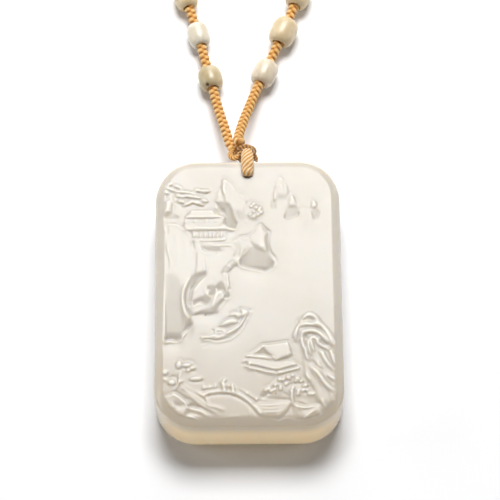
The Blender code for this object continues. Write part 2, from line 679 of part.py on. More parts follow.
def build_cords(parts):
    """Lay both legs of the cord and thread the beads on them."""
    low = CORD_DIAMETER / 2 + REST_GAP
    high = low + CORD_DIAMETER * (COIL_LAYERS - 1)
    left_end = (*coil_entry(-1), high)
    right_end = (*coil_entry(1), low)
    left = cord_route(
        (-0.00255, 0.03600, 0.0068),
        ((-0.00372, 0.03800, 0.0062), (-0.00504, 0.04310, 0.0050), (-0.00639, 0.04838, 0.0038),
         (-0.00745, 0.05320, 0.0030)),
        BEADS_LEFT,
        ((-0.00962, 0.06260, 0.0026), (-0.01232, 0.07330, 0.0025), (-0.01515, 0.08330, 0.0027)),
        ((-0.01605, 0.08800, 0.0032), left_end),
    )
    right = cord_route(
        (-0.00150, 0.03675, 0.0095),
        ((-0.00200, 0.03830, 0.0085), (-0.00098, 0.04340, 0.0063), (0.00068, 0.04910, 0.0043),
         (0.00234, 0.05410, 0.0031)),
        BEADS_RIGHT,
        ((0.00620, 0.06350, 0.0028), (0.01025, 0.07370, 0.0029), (0.01345, 0.08350, 0.0026)),
        ((0.01435, 0.08820, 0.0015), right_end),
    )
    spacing = CORD_DIAMETER * CORD_POINT_SPACING
    for name, route, beads in (("cord_left", left, BEADS_LEFT), ("cord_right", right, BEADS_RIGHT)):
        tube(name, smooth_route(route, spacing), CORD_DIAMETER, SILK, parts)
        for number, bead in enumerate(beads):
            build_bead(bead, leg_direction(route, bead), parts)


def leg_direction(route, bead):
    """Give the direction of the cord where a bead sits on it."""
    x, y = bead[3:]
    fine = smooth_route(route, CORD_DIAMETER / 4)
    nearest = min(range(len(fine)), key=lambda index: (fine[index].xy - Vector((x, y))).length)
    reach = max(1, round(bead[2] / 2 / (CORD_DIAMETER / 4)))
    return (fine[nearest + reach] - fine[nearest - reach]).normalized()


def build_bead(bead, direction, parts):
    """Turn one barrel bead with its bore and lay it on the cord."""
    name, diameter, length, x, y = bead
    bore = CORD_DIAMETER / 2 + CORD_CLEARANCE
    end = max(diameter / 2 * BEAD_END_SHARE, bore + CORD_CLEARANCE)
    profile_steps = 6
    outer = []
    for step in range(profile_steps + 1):
        way = 1 - 2 * step / profile_steps
        radius = end + (diameter / 2 - end) * (1 - abs(way) ** 2.4)
        outer.append((radius, way * length / 2))
    profile = [(bore, length / 2), *outer, (bore, -length / 2)]
    mesh = bpy.data.meshes.new(name)
    edges = [(index, (index + 1) % len(profile)) for index in range(len(profile))]
    mesh.from_pydata([(radius, 0.0, z) for radius, z in profile], edges, [])
    item = link_object(name, mesh, parts, BEAD_JADE)
    turn = item.modifiers.new("turn", "SCREW")
    turn.steps = 16
    turn.render_steps = 16
    turn.use_merge_vertices = True
    turn.merge_threshold = 0.00001
    turn.use_smooth_shade = True
    item.location = (x, y, bead_height(diameter))
    flat = Vector((direction.x, direction.y, 0.0)).normalized()
    item.rotation_euler = flat.to_track_quat("Z", "X").to_euler()
    return item


def build_coil(parts):
    """Turn the round body that the put-away turns of the cord fill."""
    half = CORD_DIAMETER / 2
    inner = COIL_INNER_TURN_RADIUS - half
    outer = COIL_OUTER_TURN_RADIUS + half
    top = CORD_DIAMETER * COIL_LAYERS + REST_GAP
    soften = half * 0.6
    profile = [
        (inner, top - soften), (inner + soften, top), (outer - soften, top), (outer, top - soften),
        (outer, REST_GAP + soften), (outer - soften, REST_GAP),
        (inner + soften, REST_GAP), (inner, REST_GAP + soften),
    ]
    mesh = bpy.data.meshes.new("cord_coil")
    edges = [(index, (index + 1) % len(profile)) for index in range(len(profile))]
    mesh.from_pydata([(radius, 0.0, z) for radius, z in profile], edges, [])
    item = link_object("cord_coil", mesh, parts, SILK)
    turn = item.modifiers.new("turn", "SCREW")
    turn.steps = 36
    turn.render_steps = 36
    turn.use_merge_vertices = True
    turn.merge_threshold = 0.00001
    item.location = (*COIL_CENTRE, 0.0)
    return item


def main():
    """Build the plaque, its loop and knot, the cord with its beads, and the coil."""
    clear_scene()
    parts = new_collection("jade_plaque")
    helpers = new_collection("cutters")
    build_plaque(parts, helpers)
    build_hanging_loop(parts)
    build_knot(parts, helpers)
    build_cords(parts)
    build_coil(parts)


main()
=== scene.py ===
"""A carved white jade plaque on its beaded silk cord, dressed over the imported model."""
import json
import logging
import math
from dataclasses import dataclass
from enum import Enum
from typing import Sequence

import bmesh
import bpy
import numpy as np
from mathutils import Matrix, Vector


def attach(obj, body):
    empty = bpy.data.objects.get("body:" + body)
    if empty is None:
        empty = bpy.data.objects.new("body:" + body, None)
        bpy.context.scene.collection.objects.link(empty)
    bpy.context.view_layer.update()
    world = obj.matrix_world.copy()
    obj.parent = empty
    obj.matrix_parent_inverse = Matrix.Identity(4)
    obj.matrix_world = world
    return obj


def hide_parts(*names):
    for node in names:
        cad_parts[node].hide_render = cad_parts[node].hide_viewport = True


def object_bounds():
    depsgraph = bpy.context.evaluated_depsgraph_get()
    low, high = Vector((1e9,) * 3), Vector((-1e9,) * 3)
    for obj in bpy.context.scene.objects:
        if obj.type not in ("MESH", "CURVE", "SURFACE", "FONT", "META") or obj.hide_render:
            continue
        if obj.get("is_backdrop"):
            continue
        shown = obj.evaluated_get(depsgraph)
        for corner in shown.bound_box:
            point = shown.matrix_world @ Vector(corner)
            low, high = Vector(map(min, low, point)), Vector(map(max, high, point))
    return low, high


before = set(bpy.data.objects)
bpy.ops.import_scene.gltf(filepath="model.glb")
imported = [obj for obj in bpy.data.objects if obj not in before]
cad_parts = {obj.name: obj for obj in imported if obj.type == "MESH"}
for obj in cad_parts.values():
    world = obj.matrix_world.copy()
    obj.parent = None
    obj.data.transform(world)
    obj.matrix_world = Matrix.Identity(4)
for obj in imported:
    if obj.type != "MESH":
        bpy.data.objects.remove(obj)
CAD_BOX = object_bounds()

log = logging.getLogger("jade_plaque")

Socket = bpy.types.NodeSocket
Mesh = bpy.types.Mesh
Piece = bpy.types.Object
Material = bpy.types.Material
Place = tuple[float, float]
Range = tuple[float, float]
Spot = tuple[float, float, float]
Colour = tuple[float, float, float]
Grid = np.ndarray

MM = 0.001
DRAWN_HALF_WIDTH, DRAWN_HALF_LENGTH = 50, 75
MIDDLE_CLOUDS: Range = (0.3, 0.7)
SCREEN_TOE, SCREEN_TOE_SLOPE, SCREEN_SHIFT, SCREEN_POWER = 0.04045, 12.92, 0.055, 2.4
BLUR_REACH = 2.6
MIX_FIRST, MIX_SECOND, MIX_RESULT = 6, 7, 2


class Finish(Enum):
    """The record's material slots."""

    WHITE_JADE = "white_jade"
    BEAD_JADE = "bead_jade"
    GOLDEN_SILK = "golden_silk"
    DARK_SILK = "dark_silk"


def linear(red: float, green: float, blue: float) -> tuple[float, float, float, float]:
    """Turn a colour seen on a screen, 0 to 255, into the shader's linear colour.

    Args:
        red: Red share of the seen colour.
        green: Green share of the seen colour.
        blue: Blue share of the seen colour.

    Returns:
        The linear colour with full opacity.
    """
    seen = (red / 255, green / 255, blue / 255)
    made = [c / SCREEN_TOE_SLOPE if c <= SCREEN_TOE
            else ((c + SCREEN_SHIFT) / (1 + SCREEN_SHIFT)) ** SCREEN_POWER for c in seen]
    return made[0], made[1], made[2], 1.0


def smooth(low: float, high: float, value: Grid) -> Grid:
    """Rise softly from 0 at low to 1 at high.

    Args:
        low: Value that gives 0.
        high: Value that gives 1.
        value: Values to turn into shares.

    Returns:
        The shares.
    """
    share = np.clip((value - low) / (high - low), 0.0, 1.0)
    return share * share * (3 - 2 * share)


def pairs(numbers: Sequence[float]) -> list[Place]:
    """Read places from numbers that give across and along in turn."""
    return list(zip(numbers[::2], numbers[1::2]))


def even_route(points: Sequence[Sequence[float]], spacing: float) -> list[Vector]:
    """Read evenly spaced points from a smooth curve through the given ones.

    Args:
        points: Points that the curve passes through.
        spacing: Wanted distance between the points read.

    Returns:
        The points, with both ends kept.
    """
    knots = [Vector(point) for point in points]
    padded = [knots[0] * 2 - knots[1], *knots, knots[-1] * 2 - knots[-2]]
    fine: list[Vector] = []
    steps = 24
    for a, b, c, d in zip(padded, padded[1:], padded[2:], padded[3:]):
        for step in range(steps):
            t = step / steps
            bend = (2 * a - 5 * b + 4 * c - d) * t * t + (3 * b - a - 3 * c + d) * t**3
            fine.append(b + ((c - a) * t + bend) / 2)
    fine.append(knots[-1])
    return respaced(fine, spacing)


def respaced(fine: Sequence[Vector], spacing: float) -> list[Vector]:
    """Read evenly spaced points from a row of close points.

    Args:
        fine: Close points on the curve.
        spacing: Wanted distance between the points read.

    Returns:
        The points, with both ends kept.
    """
    where = np.array([tuple(point) for point in fine])
    length = np.concatenate([[0.0], np.cumsum(np.linalg.norm(np.diff(where, axis=0), axis=1))])
    count = max(2, round(length[-1] / spacing))
    wanted = np.linspace(0.0, length[-1], count + 1)
    columns = [np.interp(wanted, length, where[:, axis]) for axis in range(where.shape[1])]
    return [Vector(tuple(row)) for row in np.stack(columns, axis=1)]


def new_object(name: str, mesh: Mesh) -> Piece:
    """Put a mesh in the scene.

    Args:
        name: The piece's name.
        mesh: Its mesh, in metres.

    Returns:
        The new object.
    """
    piece = bpy.data.objects.new(name, mesh)
    bpy.context.scene.collection.objects.link(piece)
    return piece


def mesh_of(name: str, points: Grid, faces: Sequence[Sequence[int]] | Grid) -> Mesh:
    """Make a smooth-shaded mesh.

    Args:
        name: The mesh's name.
        points: Its points, in metres.
        faces: Corner numbers of each face.

    Returns:
        The mesh.
    """
    mesh = bpy.data.meshes.new(name)
    corners = faces.tolist() if isinstance(faces, np.ndarray) else faces
    mesh.from_pydata(points.tolist(), [], corners)
    mesh.shade_smooth()
    mesh.update()
    return mesh


def give_share(mesh: Mesh, name: str, shares: Grid) -> None:
    """Keep one number a point on a mesh, for a material to read.

    Args:
        mesh: The mesh that gets the numbers.
        name: The attribute's name.
        shares: One number for each point.
    """
    layer = mesh.attributes.new(name, "FLOAT", "POINT")
    layer.data.foreach_set("value", np.asarray(shares, dtype=np.float32).ravel())


def face_outward(mesh: Mesh) -> None:
    """Turn every face of a closed mesh outward.

    Args:
        mesh: The mesh.
    """
    shape = bmesh.new()
    shape.from_mesh(mesh)
    bmesh.ops.recalc_face_normals(shape, faces=shape.faces)
    shape.to_mesh(mesh)
    shape.free()


class NodeBench:
    """Lays out the shader nodes of one material."""

    cloud_roughness: float = 0.55

    def __init__(self, name: str) -> None:
        """Start a material with one glossy surface shader.

        Args:
            name: The material's name.
        """
        self.material = bpy.data.materials.new(name)
        self.material.use_nodes = True
        self.tree = self.material.node_tree
        self.shader = self.tree.nodes["Principled BSDF"]

    def add(self, kind: str, **settings: object) -> bpy.types.ShaderNode:
        """Add a node with its properties set.

        Args:
            kind: The node's type name, without its ShaderNode start.
            **settings: Properties of the node.

        Returns:
            The node.
        """
        node = self.tree.nodes.new("ShaderNode" + kind)
        for name, value in settings.items():
            setattr(node, name, value)
        return node

    def link(self, source: Socket, target: Socket) -> None:
        """Lead one socket to another."""
        self.tree.links.new(source, target)

    def share(self, name: str) -> Socket:
        """Read a number kept on the mesh."""
        return self.add("Attribute", attribute_name=name).outputs["Fac"]

    def place(self) -> Socket:
        """Give the place on the piece, in metres."""
        return self.add("TexCoord").outputs["Object"]

    def cloud(self, scale: float, detail: float = 3.0) -> Socket:
        """Make a soft, cloudy pattern.

        Args:
            scale: Clouds in a metre.
            detail: How many finer layers it has.

        Returns:
            The pattern's value socket.
        """
        node = self.add("TexNoise")
        node.inputs["Scale"].default_value = scale
        node.inputs["Detail"].default_value = detail
        node.inputs["Roughness"].default_value = self.cloud_roughness
        self.link(self.place(), node.inputs["Vector"])
        return node.outputs["Fac"]

    def between(self, value: Socket, low: float, high: float,
                to_low: float = 0.0, to_high: float = 1.0) -> Socket:
        """Stretch a range of values, and clamp it.

        Args:
            value: The value to stretch.
            low: The value that becomes to_low.
            high: The value that becomes to_high.
            to_low: What low becomes.
            to_high: What high becomes.

        Returns:
            The stretched value.
        """
        node = self.add("MapRange", interpolation_type="SMOOTHSTEP")
        ends = {"From Min": low, "From Max": high, "To Min": to_low, "To Max": to_high}
        for name, number in ends.items():
            node.inputs[name].default_value = number
        self.link(value, node.inputs["Value"])
        return node.outputs["Result"]

    def blend(self, share: Socket, first: object, second: object) -> Socket:
        """Mix two colours.

        Args:
            share: How much of the second colour.
            first: A colour or a colour socket.
            second: A colour or a colour socket.

        Returns:
            The mixed colour.
        """
        node = self.add("Mix", data_type="RGBA")
        self.link(share, node.inputs["Factor"])
        for number, colour in ((MIX_FIRST, first), (MIX_SECOND, second)):
            socket = node.inputs[number]
            if isinstance(colour, Socket):
                self.link(colour, socket)
            else:
                socket.default_value = colour
        return node.outputs[MIX_RESULT]

    def product(self, first: Socket, second: Socket) -> Socket:
        """Multiply two values.

        Args:
            first: One value.
            second: The other value.

        Returns:
            Their product.
        """
        node = self.add("Math", operation="MULTIPLY")
        self.link(first, node.inputs[0])
        self.link(second, node.inputs[1])
        return node.outputs[0]

    def bump(self, height: Socket, strength: float, depth: float) -> None:
        """Raise the surface's shading by a pattern.

        Args:
            height: The pattern.
            strength: How strong it is, 0 to 1.
            depth: Its depth in metres.
        """
        node = self.add("Bump")
        node.inputs["Strength"].default_value = strength
        node.inputs["Distance"].default_value = depth
        self.link(height, node.inputs["Height"])
        self.link(node.outputs["Normal"], self.shader.inputs["Normal"])

    def set(self, **numbers: object) -> None:
        """Set the shader's own sockets.

        Args:
            **numbers: Socket names, with underscores for spaces, and their values.
        """
        for name, value in numbers.items():
            self.shader.inputs[name.replace("_", " ")].default_value = value


@dataclass(frozen=True)
class WhiteJade:
    """Pale waxy jade: cloudy cream with brown stains; painted shade towards the foot, in the
    hollows and on the slopes; a painted highlight on the crests; a foot wall warmer in tone and
    brighter with a painted glow.
    """

    pale: Colour = (203, 197, 187)
    cream: Colour = (197, 190, 178)
    # Painted shade: the colour that the carved hollows and the slopes facing away from the light
    # are darkened towards.
    hollow_shade: Colour = (182, 172, 156)
    # Painted highlight: the lighter colour that the carved crests are brightened towards.
    crest_highlight: Colour = (224, 220, 212)
    # A warmer tone at the foot, made brighter as a painted glow of light through the stone on the
    # foot wall.
    foot: Colour = (240, 217, 178)
    stain: Colour = (150, 104, 62)
    # Painted shade: the colour that the face is darkened towards at the foot.
    foot_shade: Colour = (193, 182, 165)
    clouds: float = 70.0
    cloudy: Range = (0.35, 0.7)
    # Where the painted shade towards the foot begins and where it is full.
    foot_shade_y: Range = (-0.006, -0.034)
    foot_glow_y: Range = (-0.0235, -0.0330)
    foot_glow_z: Range = (0.0108, 0.0060)
    hollow_shade_share: float = 0.5
    crest_highlight_share: float = 0.8
    roughness: Range = (0.26, 0.42)
    grain: Range = (900.0, 4.0)
    grain_bump: Range = (0.10, 0.00003)
    scatter: Spot = (1.0, 0.80, 0.50)
    depth: float = 0.0019
    bending: float = 1.6
    shine: float = 0.22

    def make(self) -> Material:
        """Make the material.

        Returns:
            The material, which reads from the mesh the share of painted shade in the hollows, the
            share of painted highlight on the crests, and the stain share.
        """
        bench = NodeBench("white_jade_body")
        cloudy = bench.between(bench.cloud(self.clouds), *self.cloudy)
        body = bench.blend(cloudy, linear(*self.pale), linear(*self.cream))
        split = bench.add("SeparateXYZ")
        bench.link(bench.place(), split.inputs[0])
        # Painted light: the low wall at the foot is lit brighter, and warmer in tone.
        foot = bench.between(split.outputs["Y"], *self.foot_glow_y)
        low = bench.between(split.outputs["Z"], *self.foot_glow_z)
        # Painted shade, darker towards the foot.
        lower = bench.between(split.outputs["Y"], *self.foot_shade_y)
        shaded = bench.blend(lower, body, linear(*self.foot_shade))
        with_foot_glow = bench.blend(bench.product(foot, low), shaded, linear(*self.foot))
        # Painted shade in the hollows and on the falling slopes, which are also made rougher.
        hollow_shade = bench.between(bench.share("hollow_shade"), 0.0, 1.0, 0.0, self.hollow_shade_share)
        cut = bench.blend(hollow_shade, with_foot_glow, linear(*self.hollow_shade))
        # Painted highlight on the carving's crests.
        crest_highlight = bench.between(bench.share("crest_highlight"), 0.0, 1.0, 0.0, self.crest_highlight_share)
        highlighted = bench.blend(crest_highlight, cut, linear(*self.crest_highlight))
        stained = bench.blend(bench.share("stain"), highlighted, linear(*self.stain))
        bench.link(stained, bench.shader.inputs["Base Color"])
        rough = bench.between(bench.share("hollow_shade"), 0.0, 1.0, *self.roughness)
        bench.link(rough, bench.shader.inputs["Roughness"])
        bench.bump(bench.cloud(*self.grain), *self.grain_bump)
        bench.set(IOR=self.bending, Subsurface_Weight=1.0, Subsurface_Radius=self.scatter,
                  Subsurface_Scale=self.depth, Specular_IOR_Level=self.shine)
        return bench.material


@dataclass(frozen=True)
class BeadJade:
    """Polished jade of one bead, with faint clouds."""

    name: str
    light: Colour
    dark: Colour
    spot: Colour = (92, 66, 40)
    clouds: float = 260.0
    cloudy: Range = (0.35, 0.68)
    polish: float = 700.0
    roughness: Range = (0.26, 0.36)
    grain: float = 1500.0
    grain_bump: Range = (0.12, 0.00003)
    milkiness: float = 0.6
    scatter: Spot = (1.0, 0.85, 0.6)
    depth: float = 0.0012
    bending: float = 1.6
    shine: float = 0.38

    def make(self) -> Material:
        """Make the material.

        Returns:
            The material, which reads the share stain from the mesh.
        """
        bench = NodeBench(self.name)
        cloudy = bench.between(bench.cloud(self.clouds), *self.cloudy)
        body = bench.blend(cloudy, linear(*self.light), linear(*self.dark))
        spotted = bench.blend(bench.share("stain"), body, linear(*self.spot))
        bench.link(spotted, bench.shader.inputs["Base Color"])
        rough = bench.between(bench.cloud(self.polish), *MIDDLE_CLOUDS, *self.roughness)
        bench.link(rough, bench.shader.inputs["Roughness"])
        bench.bump(bench.cloud(self.grain), *self.grain_bump)
        bench.set(IOR=self.bending, Subsurface_Weight=self.milkiness,
                  Subsurface_Radius=self.scatter, Subsurface_Scale=self.depth,
                  Specular_IOR_Level=self.shine)
        return bench.material


@dataclass(frozen=True)
class Silk:
    """Braided silk: a painted highlight on the crown of each row, painted shade between rows, with
    fine threads.
    """

    name: str
    crown_highlight: Colour
    middle: Colour
    groove_shade: Colour
    threads: float = 5.0
    low_rows: Range = (0.12, 0.72)
    high_rows: Range = (0.55, 1.0)
    fading: Range = (1400.0, 2.0)
    faded: float = 0.35
    wander: float = 0.6
    wander_detail: float = 2.0
    thread_bump: Range = (0.5, 0.00012)
    roughness: Range = (0.62, 0.42)
    sheen: float = 0.35
    sheen_roughness: float = 0.4
    sheen_tint: Spot = (1.0, 0.86, 0.62)
    bending: float = 1.45

    def make(self) -> Material:
        """Make the material.

        Returns:
            The material, which reads from the mesh the share that places the painted highlight on
            each row's crown and the painted shade between rows, and the thread map.
        """
        bench = NodeBench(self.name)
        # Painted highlight on each row's crown, painted shade in the grooves between rows.
        crown_highlight = bench.share("crown_highlight")
        lower = bench.between(crown_highlight, *self.low_rows)
        low = bench.blend(lower, linear(*self.groove_shade), linear(*self.middle))
        high = bench.blend(bench.between(crown_highlight, *self.high_rows), low, linear(*self.crown_highlight))
        fade = bench.between(bench.cloud(*self.fading), *MIDDLE_CLOUDS, 0.0, self.faded)
        uneven = bench.blend(fade, high, linear(*self.middle))
        bench.link(uneven, bench.shader.inputs["Base Color"])
        wave = bench.add("TexWave", bands_direction="X", wave_profile="SIN")
        wave.inputs["Scale"].default_value = self.threads
        wave.inputs["Distortion"].default_value = self.wander
        wave.inputs["Detail"].default_value = self.wander_detail
        bench.link(bench.add("TexCoord").outputs["UV"], wave.inputs["Vector"])
        bench.bump(wave.outputs["Fac"], *self.thread_bump)
        rough = bench.between(wave.outputs["Fac"], 0.0, 1.0, *self.roughness)
        bench.link(rough, bench.shader.inputs["Roughness"])
        bench.set(Sheen_Weight=self.sheen, Sheen_Roughness=self.sheen_roughness,
                  Sheen_Tint=(*self.sheen_tint, 1.0), IOR=self.bending)
        return bench.material


@dataclass(frozen=True)
class WhitePaper:
    """The plain pale surface that the plaque lies on."""

    tone: Colour = (250, 250, 251)
    grain_tone: Colour = (246, 246, 248)
    grain: float = 900.0
    grain_share: float = 0.12
    roughness: float = 0.9
    shine: float = 0.1

    def make(self) -> Material:
        """Make the material.

        Returns:
            The material.
        """
        bench = NodeBench("white_paper")
        grain = bench.between(bench.cloud(self.grain), *MIDDLE_CLOUDS, 0.0, self.grain_share)
        tone = bench.blend(grain, linear(*self.tone), linear(*self.grain_tone))
        bench.link(tone, bench.shader.inputs["Base Color"])
        bench.set(Roughness=self.roughness, Specular_IOR_Level=self.shine)
        return bench.material


# Each silk's colours: painted crown highlight, middle tone, painted groove shade.
GOLDEN_SILK = Silk("golden_silk_braid", (255, 214, 140), (218, 146, 60), (112, 58, 10))
DARK_SILK = Silk("dark_silk_knot", (214, 160, 88), (150, 98, 48), (70, 40, 18))
LOOP_SILK = Silk("golden_silk_loop", (255, 236, 200), (228, 168, 86), (168, 92, 22), threads=9.0)


@dataclass(frozen=True)
class Softbox:
    """A rectangular soft light: its name, place and size in metres, and its power in watts."""

    name: str
    place: Spot
    size: Range
    power: float


@dataclass(frozen=True)
class Studio:
    """Camera, soft lights and floor, as the photograph was taken."""

    elevation: float = 64.0
    distance: float = 0.574
    roll: float = -0.48
    aim: Spot = (0.00041, 0.01509, 0.0)
    focal_px: float = 2609.0
    picture_px: float = 500.0
    film: float = 36.0
    nearest: float = 0.01
    floor_size: float = 1.6
    floor_gap: float = 0.00001
    lit: Spot = (0.0, 0.02, 0.0)
    air: float = 0.03
    softboxes: tuple[Softbox, ...] = (
        Softbox("key_softbox", (0.012, 0.290, 0.47), (0.30, 0.24), 3.45),
        Softbox("front_fill", (0.0, -0.45, 0.03), (0.3, 0.04), 0.74),
        Softbox("back_fill", (0.0, 0.5, 0.2), (0.3, 0.1), 0.7),
        Softbox("left_fill", (-0.42, 0.04, 0.13), (0.2, 0.12), 0.56),
        Softbox("right_fill", (0.42, 0.04, 0.13), (0.2, 0.12), 0.32),
    )

    def set_up(self) -> None:
        """Make the camera, the lights, the air's light and the floor."""
        self.make_camera()
        for softbox in self.softboxes:
            self.hang(softbox)
        world = bpy.data.worlds.new("studio_air")
        world.use_nodes = True
        air = world.node_tree.nodes["Background"].inputs
        air["Color"].default_value = (1.0, 1.0, 1.0, 1.0)
        air["Strength"].default_value = self.air
        bpy.context.scene.world = world
        bpy.context.scene.view_settings.view_transform = "Standard"
        self.make_floor()

    def make_camera(self) -> None:
        """Set the camera at the photograph's angle."""
        rise, turn = math.radians(self.elevation), math.radians(self.roll)
        back = Vector((0, -math.cos(rise), math.sin(rise)))
        up = Vector((0, math.sin(rise), math.cos(rise)))
        across = Vector((1, 0, 0))
        right = across * math.cos(turn) + up * math.sin(turn)
        above = up * math.cos(turn) - across * math.sin(turn)
        data = bpy.data.cameras.new("photo_camera")
        data.sensor_width = self.film
        data.lens = self.focal_px / self.picture_px * self.film
        data.clip_start = self.nearest
        camera = bpy.data.objects.new("photo_camera", data)
        bpy.context.scene.collection.objects.link(camera)
        turned = Matrix((right, above, back)).transposed().to_4x4()
        camera.matrix_world = Matrix.Translation(Vector(self.aim) + back * self.distance) @ turned
        bpy.context.scene.camera = camera

    def hang(self, softbox: Softbox) -> None:
        """Hang a soft light that faces the plaque.

        Args:
            softbox: The light's place, size and power.
        """
        data = bpy.data.lights.new(softbox.name, "AREA")
        data.shape = "RECTANGLE"
        data.size, data.size_y = softbox.size
        data.energy = softbox.power
        lamp = bpy.data.objects.new(softbox.name, data)
        bpy.context.scene.collection.objects.link(lamp)
        lamp.location = softbox.place
        aim = Vector(self.lit) - Vector(softbox.place)
        lamp.rotation_euler = aim.to_track_quat("-Z", "Y").to_euler()

    def make_floor(self) -> None:
        """Lay the floor just under the plaque."""
        half = self.floor_size / 2
        corners = [(-half, -half, 0), (half, -half, 0), (half, half, 0), (-half, half, 0)]
        sheet = mesh_of("floor", np.array(corners, dtype=float), [(0, 1, 2, 3)])
        floor = new_object("floor", sheet)
        floor.location.z = -self.floor_gap
        floor.data.materials.append(WhitePaper().make())
        floor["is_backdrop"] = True


@dataclass(frozen=True)
class Strand:
    """How a swept cord is braided, and how finely it is meshed."""

    pitch: float
    depth: float
    starts: int = 1
    around: int = 18
    rings: int = 8


class Sweep:
    """A braided surface swept along a route."""

    upright_limit: float = 0.15
    row_rounding: float = 0.75
    zigzag: float = 0.5
    overlap: Range = (-0.45, 0.25)

    def __init__(self, route: Sequence[Vector], strand: Strand) -> None:
        """Lay close rings along the route.

        Args:
            route: The middle line, in metres.
            strand: How the surface is braided.
        """
        self.strand = strand
        fine = respaced(route, strand.pitch / strand.rings)
        self.middle = np.array([tuple(point) for point in fine])
        step = np.linalg.norm(np.diff(self.middle, axis=0), axis=1)
        self.along = np.concatenate([[0.0], np.cumsum(step)])
        way = np.gradient(self.middle, axis=0)
        self.way = way / np.linalg.norm(way, axis=1, keepdims=True)
        self.share = self.along / self.along[-1]

    def upright(self) -> tuple[Grid, Grid]:
        """Turn each ring so that its first quarter points up.

        Returns:
            The direction to the right and the direction up, at each ring.
        """
        up = np.tile(np.array([0.0, 0.0, 1.0]), (len(self.way), 1))
        right = np.cross(self.way, up)
        weak = np.linalg.norm(right, axis=1) < self.upright_limit
        right[weak] = np.array([1.0, 0.0, 0.0])
        right /= np.linalg.norm(right, axis=1, keepdims=True)
        return right, np.cross(right, self.way)

    def sideways(self) -> tuple[Grid, Grid]:
        """Turn each ring so that its broad side faces out of the plane that holds X.

        Returns:
            The direction along X and the direction out, at each ring.
        """
        right = np.tile(np.array([1.0, 0.0, 0.0]), (len(self.way), 1))
        return right, np.cross(right, self.way)

    def rows(self, angle: Grid, columns: Grid) -> tuple[Grid, Grid]:
        """Work out how high the rows of the braid stand.

        Args:
            angle: Angle around the cord for each ring point.
            columns: Share of the two-column braid at each ring.

        Returns:
            The height of each point from 0 in the grooves to 1, and the thread map's first
            number.
        """
        turn = 2 * math.pi * self.along[:, None] / self.strand.pitch
        slanted = turn + self.strand.starts * angle
        single = np.abs(np.cos(slanted / 2)) ** self.row_rounding
        side = np.cos(angle)
        bent = turn / 2 + self.zigzag * np.sin(angle)
        left = np.abs(np.cos(bent)) ** self.row_rounding * smooth(*self.overlap, -side)
        right = np.abs(np.sin(bent)) ** self.row_rounding * smooth(*self.overlap, side)
        double = np.maximum(left, right)
        height = single * (1 - columns[:, None]) + double * columns[:, None]
        return height, slanted / (2 * math.pi)

    def mesh(self, name: str, wide: Grid, thick: Grid, broad: bool = False,
             columns: Grid | None = None) -> Mesh:
        """Build the surface.

        Args:
            name: The mesh's name.
            wide: Half width at each ring, in metres.
            thick: Half thickness at each ring, in metres.
            broad: Whether the ring's width lies along X.
            columns: Share of the two-column braid at each ring.

        Returns:
            The closed mesh, with the share that places the silk's painted highlight on the row
            crowns and painted shade in the grooves, and its thread map.
        """
        count, around = len(self.along), self.strand.around
        first, second = self.sideways() if broad else self.upright()
        angle = np.linspace(0, 2 * math.pi, around, endpoint=False)
        angle = angle[None, :].repeat(count, axis=0)
        height, thread = self.rows(angle, np.zeros(count) if columns is None else columns)
        swell = 1 - self.strand.depth * (1 - height)
        points = (self.middle[:, None, :]
                  + first[:, None, :] * (np.cos(angle) * swell * wide[:, None])[:, :, None]
                  + second[:, None, :] * (np.sin(angle) * swell * thick[:, None])[:, :, None])
        points = points.reshape(-1, 3)
        index = np.arange(count * around).reshape(count, around)
        nxt = np.roll(index, -1, axis=1)
        quads = np.stack([index[:-1], nxt[:-1], nxt[1:], index[1:]], axis=-1).reshape(-1, 4)
        faces = quads.tolist() + [index[0][::-1].tolist(), index[-1].tolist()]
        mesh = mesh_of(name, points, faces)
        # The share that places the silk's painted highlight and groove shade.
        give_share(mesh, "crown_highlight", height)
        layer = mesh.uv_layers.new(name="threads")
        corner = np.empty(len(mesh.loops), dtype=np.int32)
        mesh.loops.foreach_get("vertex_index", corner)
        flat = np.stack([thread.ravel(), angle.ravel()], axis=1)[corner]
        layer.data.foreach_set("uv", flat.astype(np.float32).ravel())
        face_outward(mesh)
        return mesh


@dataclass(frozen=True)
class Bead:
    """One barrel bead: its node, size, the place of its middle, its tones and its brown spot."""

    node: str
    diameter: float
    length: float
    x: float
    y: float
    light: Colour
    dark: Colour
    stain: Spot | None = None

    @property
    def middle(self) -> Vector:
        """Give the bead's middle where it lies on the floor."""
        return Vector((self.x, self.y, self.diameter / 2 + Cord.rest_gap))


LEFT_BEADS = (
    Bead("bead_left_1", 0.0054, 0.0053, -0.00818, 0.05687, (206, 192, 162),
         (184, 168, 132), stain=(-0.0088, 0.0545, 0.0045)),
    Bead("bead_left_2", 0.0049, 0.0056, -0.01092, 0.06840, (226, 219, 204), (212, 203, 182)),
    Bead("bead_left_3", 0.0052, 0.0056, -0.01390, 0.07840, (218, 200, 166), (206, 184, 144)),
)
RIGHT_BEADS = (
    Bead("bead_right_1", 0.0055, 0.0059, 0.00403, 0.05818, (224, 212, 194), (210, 196, 172)),
    Bead("bead_right_2", 0.0059, 0.0064, 0.00842, 0.06880, (220, 204, 174), (208, 188, 152)),
    Bead("bead_right_3", 0.0056, 0.0060, 0.01200, 0.07860, (218, 202, 170), (206, 186, 146)),
)


